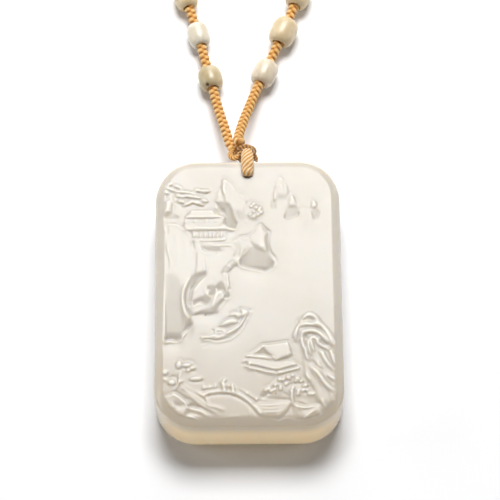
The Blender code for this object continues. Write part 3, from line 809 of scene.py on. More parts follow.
@dataclass(frozen=True)
class Cord:
    """The braided silk cord: two legs, and its unseen length put away in a coil."""

    diameter: float = 0.0023
    strand: Strand = Strand(0.00142, 0.34, around=16, rings=8)
    spacing: float = 0.0012
    rest_gap: float = 0.00002
    coil_middle: Place = (-0.0008, 0.1010)
    outer_turn: float = 0.0156
    inner_turn: float = 0.0080
    turns_each_layer: float = 3.25
    climb: Range = (3.10, 3.45)
    coil_points: int = 480
    entry_gap: float = 0.0006
    rows_meet_to: Range = (0.081, 0.084)
    finish: Finish = Finish.GOLDEN_SILK

    def entry_y(self) -> float:
        """Give how far along Y the legs meet the coil."""
        outside = self.outer_turn + self.diameter / 2
        inside = self.outer_turn - self.diameter / 2
        return self.coil_middle[1] - math.sqrt(outside**2 - inside**2) - self.entry_gap

    def heights(self) -> Place:
        """Give the middle heights of the coil's lower and upper layers."""
        low = self.diameter / 2 + self.rest_gap
        return low, low + self.diameter

    def left_leg(self) -> list[Vector]:
        """Lead the left leg from the knot to the coil.

        Returns:
            Points on the leg's middle line.
        """
        first, second, third = LEFT_BEADS
        ends = (self.coil_middle[0] - self.outer_turn, self.entry_y(), self.heights()[1])
        points = [
            (-0.00255, 0.03600, 0.0068), (-0.00372, 0.03800, 0.0062), (-0.00504, 0.04310, 0.0050),
            (-0.00639, 0.04838, 0.0038), (-0.00745, 0.05320, 0.0030), first.middle,
            (-0.00962, 0.06260, 0.0026), second.middle, (-0.01232, 0.07330, 0.0025), third.middle,
            (-0.01515, 0.08330, 0.0027), (-0.01605, 0.08800, 0.0032), ends,
        ]
        return even_route(points, self.spacing)

    def right_leg(self) -> list[Vector]:
        """Lead the right leg from the knot to the coil.

        Returns:
            Points on the leg's middle line.
        """
        first, second, third = RIGHT_BEADS
        ends = (self.coil_middle[0] + self.outer_turn, self.entry_y(), self.heights()[0])
        points = [
            (-0.00150, 0.03675, 0.0095), (-0.00200, 0.03830, 0.0085), (-0.00098, 0.04340, 0.0063),
            (0.00068, 0.04910, 0.0043), (0.00234, 0.05410, 0.0031), first.middle,
            (0.00620, 0.06350, 0.0028), second.middle, (0.01025, 0.07370, 0.0029), third.middle,
            (0.01345, 0.08350, 0.0026), (0.01435, 0.08820, 0.0015), ends,
        ]
        return even_route(points, self.spacing)

    def coil(self) -> list[Vector]:
        """Wind the unseen length, inwards below and outwards above.

        Returns:
            Points from the right leg's end to the left leg's end.
        """
        low, high = self.heights()
        turns = np.linspace(0.0, 2 * self.turns_each_layer, self.coil_points)
        inward = 1 - np.abs(turns / self.turns_each_layer - 1)
        radius = self.outer_turn - (self.outer_turn - self.inner_turn) * inward
        height = low + (high - low) * smooth(*self.climb, turns)
        angle = 2 * math.pi * turns
        x = self.coil_middle[0] + radius * np.cos(angle)
        y = self.coil_middle[1] + radius * np.sin(angle)
        return [Vector(point) for point in zip(x.tolist(), y.tolist(), height.tolist())]

    def route(self) -> list[Vector]:
        """Give the whole middle line, from the knot round the coil and back.

        Returns:
            Evenly spaced points.
        """
        whole = self.left_leg() + self.coil()[::-1] + self.right_leg()[::-1]
        return respaced(whole, self.spacing)

    def columns(self, middle: Grid) -> Grid:
        """Give the share of the two-column braid at each point: all of it up to the coil."""
        return 1 - smooth(*self.rows_meet_to, middle[:, 1])

    def build(self, carried: Sequence[Piece]) -> Piece:
        """Build the cord.

        Args:
            carried: The beads, the knot and the loop; not used.

        Returns:
            The cord.
        """
        route = self.route()
        sweep = Sweep(route, self.strand)
        half = np.full(len(sweep.along), self.diameter / 2)
        mesh = sweep.mesh("braided_cord", half, half, columns=self.columns(sweep.middle))
        cord = new_object("braided_cord", mesh)
        cord.data.materials.append(GOLDEN_SILK.make())
        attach(cord, "root")
        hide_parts("cord_left", "cord_right", "cord_coil")
        log.info("cord: %.3f m long, %d faces", sweep.along[-1], len(mesh.polygons))
        return cord


@dataclass(frozen=True)
class HangingLoop:
    """The flat twisted loop from the knot over the rim and through the slanted hole."""

    width: float = 0.0028
    thickness: float = 0.0013
    width_in_hole: float = 0.0019
    rim: float = 0.03125
    ground: float = 0.0112
    mouth_from_edge: float = 0.0028
    exit_height: float = 0.0040
    gap: float = 0.0003
    hug: float = 0.0001
    bevel: float = 0.0019
    knot_middle: Spot = (-0.0001, 0.0347, 0.0082)
    knot_height: float = 0.0019
    strand: Strand = Strand(0.00105, 0.20, starts=7, around=30, rings=7)
    spacing: float = 0.0004
    neck_share: float = 0.84
    face_share: float = 0.16
    face_from_rim: Range = (0.0042, 0.0012)
    hole_from_ground: Range = (-0.0004, 0.0006)

    def route(self) -> list[Vector]:
        """Lead the loop's middle line.

        Returns:
            Evenly spaced points.
        """
        bend = self.thickness / 2
        mouth = Vector((self.rim - self.mouth_from_edge, self.ground))
        way_out = Vector((self.rim, self.exit_height))
        lift = self.ground + self.gap + bend
        inward = (way_out - mouth).normalized()
        knot = Vector(self.knot_middle).yz
        flat = [
            knot + Vector((-bend, self.knot_height + self.gap + bend)),
            Vector((self.rim + bend, lift - bend / 3)),
            Vector((self.rim - self.bevel * 0.6, lift + bend / 4)),
            Vector((mouth.x + bend + self.hug, lift)),
            Vector((mouth.x - bend + self.hug, self.ground + bend)),
            mouth.lerp(way_out, 0.2) + Vector((self.hug * 0.6, 0)),
            mouth.lerp(way_out, 0.8),
            way_out + inward * bend,
            Vector((self.rim + 2 * bend, self.exit_height + bend / 2)),
            knot - Vector((bend, self.knot_height + self.gap + bend)),
        ]
        return even_route([(0.0, point.x, point.y) for point in flat], self.spacing)

    def build(self) -> Piece:
        """Build the loop.

        Returns:
            The loop.
        """
        sweep = Sweep(self.route(), self.strand)
        y, z = sweep.middle[:, 1], sweep.middle[:, 2]
        near, far = self.face_from_rim
        face = smooth(self.rim - near, self.rim - far, y)
        low, high = self.hole_from_ground
        inside = 1 - smooth(self.ground + low, self.ground + high, z)
        outside = self.width * (self.neck_share + self.face_share * face)
        wide = outside * (1 - inside) + self.width_in_hole * inside
        wide = np.where(z > self.ground, wide, np.minimum(wide, self.width_in_hole))
        half_thick = np.full(len(y), self.thickness / 2)
        mesh = sweep.mesh("hanging_loop_silk", wide / 2, half_thick, broad=True)
        piece = new_object("hanging_loop_silk", mesh)
        piece.data.materials.append(LOOP_SILK.make())
        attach(piece, "root")
        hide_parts("hanging_loop")
        log.info("hanging loop: %d faces", len(piece.data.polygons))
        return piece


@dataclass(frozen=True)
class Knot:
    """The knot of the legs and the loop: dark turns, a side bight and a cut end."""

    middle: Spot = (-0.0001, 0.0347, 0.0082)
    strand: Strand = Strand(0.0007, 0.16, starts=3, around=18, rings=6)
    spacing: float = 0.0003
    flatness: float = 0.9

    def turns(self) -> tuple[tuple[tuple[Spot, ...], float], ...]:
        """Give the dark turns' routes from the knot's middle, in millimetres, with half widths."""
        return (
            (((-1.9, 0.6, -0.9), (-1.5, 0.9, 0.6), (-0.4, 0.9, 1.35), (0.8, 0.2, 1.2),
              (1.5, -0.6, 0.2), (1.2, -0.8, -0.9)), 0.72),
            (((-1.5, -0.9, -0.9), (-1.3, -0.5, 0.6), (-0.5, 0.0, 1.35), (0.6, 0.7, 1.2),
              (1.4, 0.9, 0.3), (1.5, 0.9, -0.9)), 0.68),
            (((-0.9, 1.2, -1.1), (-1.1, 1.2, 0.2), (0.0, 1.2, 0.9), (1.0, 1.0, 0.3),
              (0.9, 1.1, -1.0)), 0.66),
            (((-1.2, -1.2, -1.0), (-1.0, -1.2, 0.3), (0.1, -1.1, 0.7), (1.1, -1.1, 0.0),
              (1.0, -1.1, -1.1)), 0.62),
            (((-0.8, 0.5, -1.2), (0.0, 0.2, -1.0), (0.8, -0.4, -1.2), (0.2, -0.2, 0.2),
              (-0.6, 0.4, 0.4)), 0.9),
        )

    def swept(self, name: str, route: Sequence[Spot], half: float,
              thin_end: float = 1.0) -> Mesh:
        """Sweep one turn of the knot.

        Args:
            name: The mesh's name.
            route: Places from the knot's middle, in millimetres.
            half: Half width in millimetres.
            thin_end: Share of the width left at the far end.

        Returns:
            The turn's mesh.
        """
        places = [Vector(self.middle) + Vector(place) * MM for place in route]
        sweep = Sweep(even_route([tuple(place) for place in places], self.spacing), self.strand)
        width = half * MM * (1 - (1 - thin_end) * sweep.share)
        return sweep.mesh(name, width, width * self.flatness)

    def build(self) -> list[Piece]:
        """Build the knot, the side bight and the cut end.

        Returns:
            The knot's pieces.
        """
        turns = [new_object(f"turn_{number}", self.swept(f"turn_{number}", route, half))
                 for number, (route, half) in enumerate(self.turns())]
        knot = joined("tied_knot", turns)
        knot.data.materials.append(DARK_SILK.make())
        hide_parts("knot")
        bight_route = ((-2.45, 1.9, -1.3), (-3.3, 1.0, -0.9), (-3.65, 0.0, -0.6),
                       (-3.1, -0.9, -0.3), (-2.2, -0.9, 0.0), (-1.3, -0.1, 0.5),
                       (-0.9, 0.3, 0.2))
        bight = new_object("side_bight", self.swept("side_bight", bight_route, 0.62))
        bight.data.materials.append(GOLDEN_SILK.make())
        end_route = ((1.1, 0.0, 0.2), (1.75, -0.6, 0.3), (2.1, -1.4, 0.2), (2.0, -2.0, 0.0))
        end = new_object("cut_end", self.swept("cut_end", end_route, 0.5, thin_end=0.7))
        end.data.materials.append(DARK_SILK.make())
        finishes = (Finish.DARK_SILK, Finish.GOLDEN_SILK, Finish.DARK_SILK)
        for piece, finish in zip((knot, bight, end), finishes):
            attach(piece, "root")
            log.info("%s: %d faces", piece.name, len(piece.data.polygons))
        return [knot, bight, end]


def joined(name: str, pieces: Sequence[Piece]) -> Piece:
    """Join several objects into one.

    Args:
        name: The joined object's name.
        pieces: The objects, which are used up.

    Returns:
        The joined object.
    """
    chosen = list(pieces)
    with bpy.context.temp_override(active_object=chosen[0], selected_editable_objects=chosen):
        bpy.ops.object.join()
    pieces[0].name = name
    pieces[0].data.name = name
    return pieces[0]


@dataclass(frozen=True)
class BeadMaker:
    """Turns and polishes the barrel beads."""

    end_share: float = 0.62
    end_narrowing: float = 0.82
    belly_power: float = 2.8
    belly_root: float = 2.2
    hole_share: float = 0.46
    hole_depth: float = 0.97
    oval: float = 0.008
    oval_turn: float = 900.0
    three_sided: float = 0.005
    three_sided_turn: float = 700.0
    spot_edge: Range = (0.00028, 0.00055)
    no_spot: Spot = (0.0, 0.0, -1.0)
    around: int = 72
    along: int = 56

    def build(self, bead: Bead, way: Vector) -> Piece:
        """Build one bead on the cord.

        Args:
            bead: The bead's sizes and tones.
            way: The cord's direction through it.

        Returns:
            The bead.
        """
        half, radius = bead.length / 2, bead.diameter / 2
        t = np.linspace(-1.0, 1.0, self.along)
        outer_z = half * np.sin(t * math.pi / 2)
        belly = (1 - np.abs(np.sin(t * math.pi / 2)) ** self.belly_power) ** (1 / self.belly_root)
        end = self.end_share * self.end_narrowing
        outer_r = radius * (end + (1 - end) * belly)
        hole, sunk = radius * self.hole_share, half * self.hole_depth
        profile_r = np.concatenate([[hole], outer_r, [hole]])
        profile_z = np.concatenate([[-sunk], outer_z, [sunk]])
        angle = np.linspace(0, 2 * math.pi, self.around, endpoint=False)
        uneven = (1 + self.oval * np.sin(2 * angle + bead.x * self.oval_turn)
                  + self.three_sided * np.sin(3 * angle + bead.y * self.three_sided_turn))
        ring = np.stack([np.cos(angle) * uneven, np.sin(angle) * uneven], axis=1)
        points = np.concatenate([np.column_stack([ring * r, np.full(self.around, z)])
                                 for r, z in zip(profile_r, profile_z)])
        rows = len(profile_r)
        index = np.arange(rows * self.around).reshape(rows, self.around)
        nxt = np.roll(index, -1, axis=1)
        below = np.roll(index, -1, axis=0)
        below_next = np.roll(nxt, -1, axis=0)
        faces = np.stack([index, nxt, below_next, below], axis=-1).reshape(-1, 4)
        mesh = mesh_of(bead.node, points, faces)
        turned = way.to_track_quat("Z", "Y").to_matrix().to_4x4()
        mesh.transform(Matrix.Translation(bead.middle) @ turned)
        face_outward(mesh)
        places = np.empty(len(mesh.vertices) * 3, dtype=np.float32)
        mesh.vertices.foreach_get("co", places)
        places = places.reshape(-1, 3)
        near = np.linalg.norm(places - np.array(bead.stain or self.no_spot), axis=1)
        give_share(mesh, "stain", 1 - smooth(*self.spot_edge, near))
        piece = new_object(bead.node + "_stone", mesh)
        piece.data.materials.append(BeadJade(bead.node + "_jade", bead.light, bead.dark).make())
        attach(piece, "root")
        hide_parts(bead.node)
        return piece

    def build_all(self, cord: Cord) -> list[Piece]:
        """Build every bead.

        Args:
            cord: The cord that they hang on.

        Returns:
            The beads.
        """
        made = []
        for beads, leg in ((LEFT_BEADS, cord.left_leg()), (RIGHT_BEADS, cord.right_leg())):
            for bead in beads:
                near = [point for point in leg if (point - bead.middle).length < bead.length / 2]
                made.append(self.build(bead, (near[-1] - near[0]).normalized()))
        log.info("beads: %d", len(made))
        return made


@dataclass
class Relief:
    """The carved face as heights over a fine grid.

    Places are as drawn: 50 across and 75 along from the middle to the rim. A line or an outline
    is a row of numbers that gives across and along in turn. Heights are shares of the full
    relief. The carver works from the far scenery to the near.
    """

    cells_per_unit: int = 4
    half_across: int = 52
    half_along: int = 78
    line_step: float = 0.6
    tool: float = 0.40
    cut: float = 0.26
    stroke_reach: float = 2.4
    swell_power: float = 0.6
    farthest: float = 9.0
    dot: float = 0.05
    rise: float = 0.50
    reach: float = 5.0
    skirt: float = 2.4
    level_blur: float = 0.5
    upper_from: Range = (-0.3, 0.6)
    moat: float = 0.20
    moat_place: float = 0.8
    moat_width: float = 0.6
    fall: float = 0.62
    fall_reach: float = 3.0
    hollowing: float = 1.1
    # Painted slope shade: the drop that gives it in full, and the softness of its border.
    full_slope_shade_drop: float = 0.45
    slope_shade_edge: float = 0.6
    tail: float = 3.0
    tail_share: float = 0.4
    tail_blur: float = 1.6
    fall_blur: float = 0.35
    softest: float = 2.0
    lump_reach: float = 1.3
    lump_edge: Range = (0.45, 1.15)
    polish: float = 0.30
    allowed: Range = (-0.35, 1.0)

    def __post_init__(self) -> None:
        """Start with a flat ground."""
        step = 1 / self.cells_per_unit
        self.u = np.arange(-self.half_across, self.half_across + step, step)
        self.v = np.arange(-self.half_along, self.half_along + step, step)
        self.height = np.zeros((len(self.v), len(self.u)))
        # Where painted shade darkens the slopes that fall away from the light.
        self.slope_shade = np.zeros_like(self.height)

    def window(self, low: Grid, high: Grid) -> tuple[slice, slice]:
        """Find the grid cells between two places.

        Args:
            low: The least place.
            high: The greatest place.

        Returns:
            Row and column slices.
        """
        middle = (self.half_across, self.half_along)
        first = np.floor((low + middle) * self.cells_per_unit).astype(int)
        last = np.ceil((high + middle) * self.cells_per_unit).astype(int) + 1
        first = np.maximum(first, 0)
        last = np.maximum(last, first + 1)
        return slice(first[1], last[1]), slice(first[0], last[0])

    def nearest(self, line: Grid, reach: float) -> tuple[tuple[slice, slice], Grid, Grid]:
        """Measure the cells around a line.

        Args:
            line: The line's close points.
            reach: How far from the line to measure.

        Returns:
            The cells, their distance to the line and the share along it.
        """
        rows, columns = self.window(line.min(axis=0) - reach, line.max(axis=0) + reach)
        u, v = self.u[columns], self.v[rows]
        gap = np.full((len(v), len(u)), np.inf)
        share = np.zeros_like(gap)
        for number, (a, b) in enumerate(zip(line, line[1:])):
            inner = self.window(np.minimum(a, b) - reach, np.maximum(a, b) + reach)
            top = slice(inner[0].start - rows.start, inner[0].stop - rows.start)
            side = slice(inner[1].start - columns.start, inner[1].stop - columns.start)
            du, dv = u[None, side] - a[0], v[top, None] - a[1]
            span = b - a
            t = np.clip((du * span[0] + dv * span[1]) / max(float(span @ span), 1e-9), 0.0, 1.0)
            far = np.hypot(du - t * span[0], dv - t * span[1])
            closer = far < gap[top, side]
            gap[top, side] = np.where(closer, far, gap[top, side])
            share[top, side] = np.where(closer, (number + t) / (len(line) - 1), share[top, side])
        return (rows, columns), gap, share

    def curve(self, numbers: Sequence[float], closed: bool = False) -> Grid:
        """Lead a line through a few points.

        Args:
            numbers: The points' numbers.
            closed: Whether the line returns to its start with straight sides. Otherwise it is
                smooth.

        Returns:
            Close points on the line, or the corners of a closed one.
        """
        points = pairs(numbers)
        if closed or len(points) < 3:
            return np.array([*points, points[0]] if closed else points, dtype=float)
        route = even_route([(u, v, 0.0) for u, v in points], self.line_step)
        return np.array([tuple(point)[:2] for point in route])

    def stroke(self, height: float, width: float, *line: float, ends: float = 0.35) -> None:
        """Raise a rounded ridge along a line, or cut a groove with a height below 0.

        Args:
            height: Height at the line's middle.
            width: Distance at which the height has fallen to a third.
            *line: The line's numbers.
            ends: Share of the height left at the ends.
        """
        reach = self.stroke_reach * width
        cells, gap, share = self.nearest(self.curve(line), reach)
        swell = ends + (1 - ends) * np.sin(np.pi * share) ** self.swell_power
        depth = height * (self.tool if height > 0 else self.cut)
        side = np.exp(-(np.minimum(gap, self.farthest) / width) ** 2)
        self.height[cells] += depth * swell * side * (gap < reach)

    def strokes(self, height: float, width: float, *lines: Sequence[float]) -> None:
        """Raise or cut several lines alike."""
        for line in lines:
            self.stroke(height, width, *line)

    def dots(self, height: float, width: float, *places: float) -> None:
        """Raise or drill several round dots alike."""
        for u, v in pairs(places):
            self.stroke(height, width, u - self.dot, v, u + self.dot, v, ends=1.0)

    def inside(self, outline: Sequence[float], reach: float) -> tuple[tuple[slice, slice], Grid]:
        """Measure how deep the cells lie inside an outline.

        Args:
            outline: Numbers of the outline's corners.
            reach: How far outside to measure.

        Returns:
            The cells and their distance inside, below 0 outside.
        """
        line = self.curve(outline, closed=True)
        cells, gap, _ = self.nearest(line, reach)
        u, v = self.u[cells[1]][None, :], self.v[cells[0]][:, None]
        within = np.zeros(gap.shape, dtype=bool)
        for a, b in zip(line, line[1:]):
            if a[1] != b[1]:
                crosses = (a[1] > v) != (b[1] > v)
                within ^= crosses & (u < a[0] + (v - a[1]) * (b[0] - a[0]) / (b[1] - a[1]))
        gap = np.where(np.isinf(gap), reach, gap)
        return cells, np.where(within, gap, -gap)

    def layer(self, top: float, foot: float, outline: Sequence[float], edge: float = 1.0,
              moat: float = 0.12, fade: float = 0.0) -> None:
        """Lay a raised plane with a crisp border over what lies behind it.

        Args:
            top: Height at its highest place.
            foot: Height at its lowest place, nearer to the viewer.
            outline: Numbers of its corners.
            edge: Width of the rise at its border, which is softer along the lower border.
            moat: Depth of the sunk line just outside its upper border.
            fade: Length over which its lower end sinks into what lies there already.
        """
        cells, deep = self.inside(outline, self.reach)
        low, high = min(outline[1::2]), max(outline[1::2])
        v = self.v[cells[0]][:, None]
        under_top = np.cumsum((deep > 0)[::-1], axis=0)[::-1] / self.cells_per_unit
        nearer = np.clip(under_top / (high - low), 0.0, 1.0)
        nearer = blurred(nearer, self.level_blur * self.cells_per_unit)
        level = self.rise * (top + (foot - top) * nearer)
        upper = smooth(*self.upper_from, -np.gradient(deep, axis=0) * self.cells_per_unit)
        share = smooth(-0.5, 0.5, deep / (edge + self.skirt * (1 - upper)))
        away = (deep + self.moat_place * edge) / (self.moat_width * edge)
        sunk = self.moat * moat * upper * np.exp(-away ** 2)
        if fade:
            kept = smooth(low, low + fade, v + np.zeros_like(deep))
            share, sunk = share * kept, sunk * kept
        before = self.height[cells] - sunk
        self.height[cells] = before * (1 - share) + level * share
        # A raised plane covers the painted slope shade beneath it.
        self.slope_shade[cells] *= 1 - share

    def slope(self, drop: float, outline: Sequence[float], soft: float = 1.2) -> None:
        """Let the surface fall towards the plaque's foot, rise again softly below, and mark it for
        painted shade.

        Args:
            drop: How far it has fallen at the lower border.
            outline: Numbers of the falling stretch's corners.
            soft: Width of its soft border.
        """
        cells, deep = self.inside(outline, self.fall_reach)
        within = deep > 0
        from_top = np.cumsum(within[::-1], axis=0)[::-1]
        whole = np.maximum(within.sum(axis=0), 1)
        tail = min(self.tail * self.cells_per_unit, self.tail_share * whole[whole > 1].mean())
        inner = np.zeros_like(self.height)
        inner[cells] = np.where(within, (from_top / whole[None, :]) ** self.hollowing, 0.0)
        below = inner.copy()
        kept = math.exp(-1 / tail)
        last = max(cells[0].start - int(3 * tail), 0)
        for row in range(cells[0].stop - 2, last, -1):
            below[row] = np.maximum(below[row], below[row + 1] * kept)
        below[inner > 0] = 0.0
        near = blurred(inner, self.fall_blur * self.cells_per_unit * min(soft, self.softest))
        # Painted shade: mark the falling stretch, which faces away from the light, to be darkened.
        edge = self.slope_shade_edge * soft
        covered = smooth(-edge, edge, deep) * min(1.0, drop / self.full_slope_shade_drop)
        self.slope_shade[cells] = np.maximum(self.slope_shade[cells], covered)
        below = blurred(below, self.tail_blur * self.cells_per_unit)
        self.height -= self.fall * drop * np.maximum(near, below)

    def lump(self, height: float, middle: Place, across: float, along: float,
             tilt: float = 0.0) -> None:
        """Raise a rounded lump.

        Args:
            height: Its height.
            middle: Its middle.
            across: Half width.
            along: Half length.
            tilt: Turn in degrees.
        """
        reach = self.lump_reach * max(across, along)
        centre = np.array(middle, dtype=float)
        cells = self.window(centre - reach, centre + reach)
        du = self.u[cells[1]][None, :] - middle[0]
        dv = self.v[cells[0]][:, None] - middle[1]
        turn = math.radians(tilt)
        a = (du * math.cos(turn) + dv * math.sin(turn)) / across
        b = (dv * math.cos(turn) - du * math.sin(turn)) / along
        self.height[cells] += self.tool * height * (1 - smooth(*self.lump_edge, np.hypot(a, b)))

    def finished(self) -> Grid:
        """Polish the carving a little by hand.

        Returns:
            The heights, all within the relief's range.
        """
        return np.clip(blurred(self.height, self.polish * self.cells_per_unit), *self.allowed)


def blurred(grid: Grid, spread: float) -> Grid:
    """Soften a grid of numbers.

    Args:
        grid: The numbers.
        spread: How far each number spreads, in cells.

    Returns:
        The softened numbers.
    """
    reach = max(1, math.ceil(BLUR_REACH * spread))
    away = np.arange(-reach, reach + 1)
    weight = np.exp(-0.5 * (away / spread) ** 2)
    weight /= weight.sum()
    out = grid
    for axis in (0, 1):
        border = [(reach, reach) if axis == side else (0, 0) for side in (0, 1)]
        wide = np.pad(out, border, mode="edge")
        size = out.shape[axis]
        parts = [w * np.take(wide, range(k, k + size), axis=axis) for k, w in enumerate(weight)]
        out = np.sum(parts, axis=0)
    return out


@dataclass
class Landscape(Relief):
    """The carved picture: hills, water, buildings, a boat, trees and a bridge."""

    shadow: float = 1.2
    clumps: tuple[tuple[float, ...], ...] = (
        (-43, 61, -41.3, 61.8, 1.0), (-39.5, 60.3, -36, 58.7, 1.1),
        (-44.5, 59.6, -40.8, 57.7, 1.1), (-45, 57.1, -43.3, 56.2, 0.9),
        (-39, 56.9, -35.5, 56.4, 1.0), (-35, 56.6, -31.2, 56, 0.9),
        (-30.3, 55.7, -28.5, 55.1, 0.8), (-28.3, 57.6, -25, 57.1, 0.9), (-24, 56.8, -21, 56.9, 0.9),
        (-38.5, 54.5, -35, 53.5, 1.0), (-34, 54.3, -31, 53.8, 0.9), (-30, 53.6, -26, 53.1, 1.0),
        (-37, 51.4, -34.6, 50.4, 1.0), (-34, 48.9, -31.5, 50.1, 0.9), (-30.5, 50.8, -26, 50.1, 1.0),
        (-28, 49.9, -24.5, 48.9, 0.9), (-24.6, 51.5, -22.3, 51.0, 0.8),
    )
    upper_posts: tuple[float, ...] = (-33.9, -28.6, -22.6, -17.2)
    posts: tuple[float, ...] = (-30.4, -26.7, -24.2, -21.6, -19.6, -17.4, -15.2, -13.2)
    squat: float = 0.85
    lumps: tuple[Spot, ...] = (
        (1.8, 47.7, 1.0), (3.2, 49, 1.1), (4.5, 47, 1.2), (6.1, 45.6, 1.3), (7.2, 44.2, 1.1),
        (3.2, 44.5, 1.1), (3.2, 41.9, 1.2), (5.4, 43, 1.1), (1, 43, 0.9), (6.8, 47, 0.8),
    )
    leaves: tuple[float, ...] = (
        8.7, -55.8, 11.5, -56.5, 13.2, -55.6, 10.3, -55.2, 16.3, -54, 16.5, -55.3, 20.3, -49,
        21, -49.6, 18, -50.3, 16, -50.2, 23, -48, 25, -49.5, 26, -50, 24.7, -51, 28.7, -53.7,
        29.8, -53.5, 30.5, -56, 28.3, -56.3, 33.3, -58.2, 31.5, -58, 25.8, -56.5, 25.5, -58,
        13.8, -53.4, 19.3, -52.6, 22.9, -54.6, 27.2, -51.4,
    )
    gaps: tuple[float, ...] = (
        19, -50.9, 21.8, -53.2, 26.7, -52.4, 31.2, -52.2, 28.5, -52.6, 30.8, -55, 10.2, -58,
        14.8, -54, 17.6, -52.4, 24, -52.8, 12.4, -54.6, 24.2, -57.2, 29.4, -57.6,
    )

    def far_peaks(self) -> None:
        """Carve three far peaks at the upper right with a waterfall between them."""
        self.layer(
            0.04, 0.42, (15.2, 61.3, 15.8, 63, 16.7, 64.7, 18, 65, 19, 64.2, 20, 62.3, 21.2, 60,
            22, 57, 23, 54, 22, 51, 16, 51, 15, 54, 14.6, 57, 15.6, 59), fade=6.0, moat=0.16)
        self.layer(
            0.03, 0.30, (15.2, 58, 16, 54, 15.5, 50, 13.2, 50, 13.6, 53, 14.2, 56.5), fade=3.0,
            moat=0.12)
        self.slope(0.20, (13.6, 57, 14.4, 53, 15.6, 50, 15.2, 46, 13.2, 46, 12.6, 49.5, 13, 53))
        self.layer(
            0.04, 0.38, (22.2, 53, 23.5, 54.9, 24.4, 54.3, 25.5, 52.2, 26.8, 50, 27, 47, 24, 46,
            22, 47, 21.6, 50), fade=4.0, moat=0.15)
        self.layer(
            0.04, 0.36, (34.2, 48.5, 34.6, 50.5, 35.3, 51.6, 36.6, 50.6, 37.6, 48.8, 38, 46.5,
            36, 45.5, 34.4, 46), fade=3.0, moat=0.16)
        self.slope(
            0.26, (21.2, 48.2, 25.5, 47.8, 27.4, 46.6, 28, 44, 27, 41.6, 25, 40.8, 23.5, 39.8,
            21.5, 39.5, 20, 40.3, 19.6, 42, 20.2, 45))
        self.slope(
            0.26, (35.2, 46.2, 38.6, 46.2, 39.2, 44.5, 38.6, 42, 37.6, 40, 36.3, 39.3, 35.4, 41,
            35.2, 43.5))
        self.layer(
            0.06, 0.02, (28.3, 45.2, 30, 46, 34, 45.4, 34.6, 42, 34, 36, 33.5, 31, 29, 31, 29.2, 36,
            29.6, 41), fade=9.0, moat=0.14)
        self.strokes(-0.07, 0.5, (31, 44.5, 30.9, 40, 30.6, 34), (32.5, 44.5, 32.5, 40, 32.2, 35))
        self.strokes(0.06, 0.5, (31.8, 44.8, 31.8, 39, 31.4, 33), (30.1, 44, 30.3, 39, 30, 34))
        self.strokes(
            0.12, 0.7, (17, 63.8, 18, 64.2, 19, 62.8), (18, 61, 18.6, 59, 19, 57.5), (20.4, 60,
            21, 58.5, 21.3, 57), (23.5, 53.9, 24.5, 52.5, 25.3, 50.5), (35.4, 50.8, 36.2, 50,
            36.9, 48), (15.1, 58, 14.9, 56, 15.4, 53.5))
        self.strokes(
            -0.11, 0.6, (17, 60.5, 17.3, 58.8, 17.5, 57), (22.8, 54, 22, 52, 21.8, 50), (19.8, 60.5,
            19.9, 58.5, 20.4, 56.5), (24.6, 54.9, 25.5, 53, 27.3, 49.5), (34, 49.8, 33.8, 48,
            34.2, 46), (37.1, 50.4, 38.1, 48.5, 38.5, 47))

    def central_peak(self) -> None:
        """Carve the tall middle peak and the dark slope down beside the hall."""
        self.layer(
            0.05, 0.28, (-15, 58.2, -16.5, 56.5, -17.6, 54.5, -17.4, 52, -18, 49.5, -18.4, 46,
            -13, 44, -11, 50, -12.5, 56), fade=4.0, moat=0.16)
        self.layer(
            0.05, 0.70, (-13.2, 64.2, -12.2, 64, -11, 63.2, -9, 61.4, -7.6, 60, -6.3, 57.8, -5, 56,
            -3, 55.1, -1.6, 54.6, -0.9, 53, -0.6, 50, 0, 46, 0.2, 43, -1.5, 39.5, -5.6, 38.5,
            -6.6, 41, -8.3, 46, -9.9, 48.6, -12.6, 50.6, -13.2, 54, -14.3, 57.4, -14.1, 60,
            -14.3, 62), fade=10.0, moat=0.22)
        self.slope(
            0.52, (-17.8, 50.3, -14, 51, -12.3, 50.2, -9.8, 48, -7.8, 43, -5.8, 38.3, -7.5, 34.5,
            -10.5, 35.2, -12.5, 38, -12.8, 43, -16, 46.5))
        self.stroke(0.18, 0.8, -13.2, 63.4, -12.9, 61, -13.2, 58.5, -12.7, 55.5)
        self.strokes(
            0.10, 0.7, (-15.3, 57, -15.6, 54, -15, 51.5), (-11.9, 63, -9, 60, -6.8, 57),
            (-9.8, 48.5, -8.3, 46, -7.3, 43, -6.5, 41, -5.8, 39.3), (-3, 50, -3.1, 47, -3.2, 44),
            (-0.9, 49.5, -0.8, 46, -0.6, 43), (-5, 54.5, -3, 53.6, -2, 52.5))
        self.strokes(
            -0.12, 0.6, (-14.2, 57, -14.5, 54, -14.3, 52), (-13.7, 56.5, -12.9, 53, -12.4, 50.5),
            (-1.8, 48.5, -1.6, 46, -1.6, 43.5), (-5.4, 45, -5.3, 42, -4.9, 40), (-8, 56, -7, 52.5,
            -5.8, 49), (-10.8, 60, -10.2, 57, -9.6, 54))
        self.dots(0.10, 0.7, -12.9, 56.3, -1, 38.8, -11.7, 62.8)

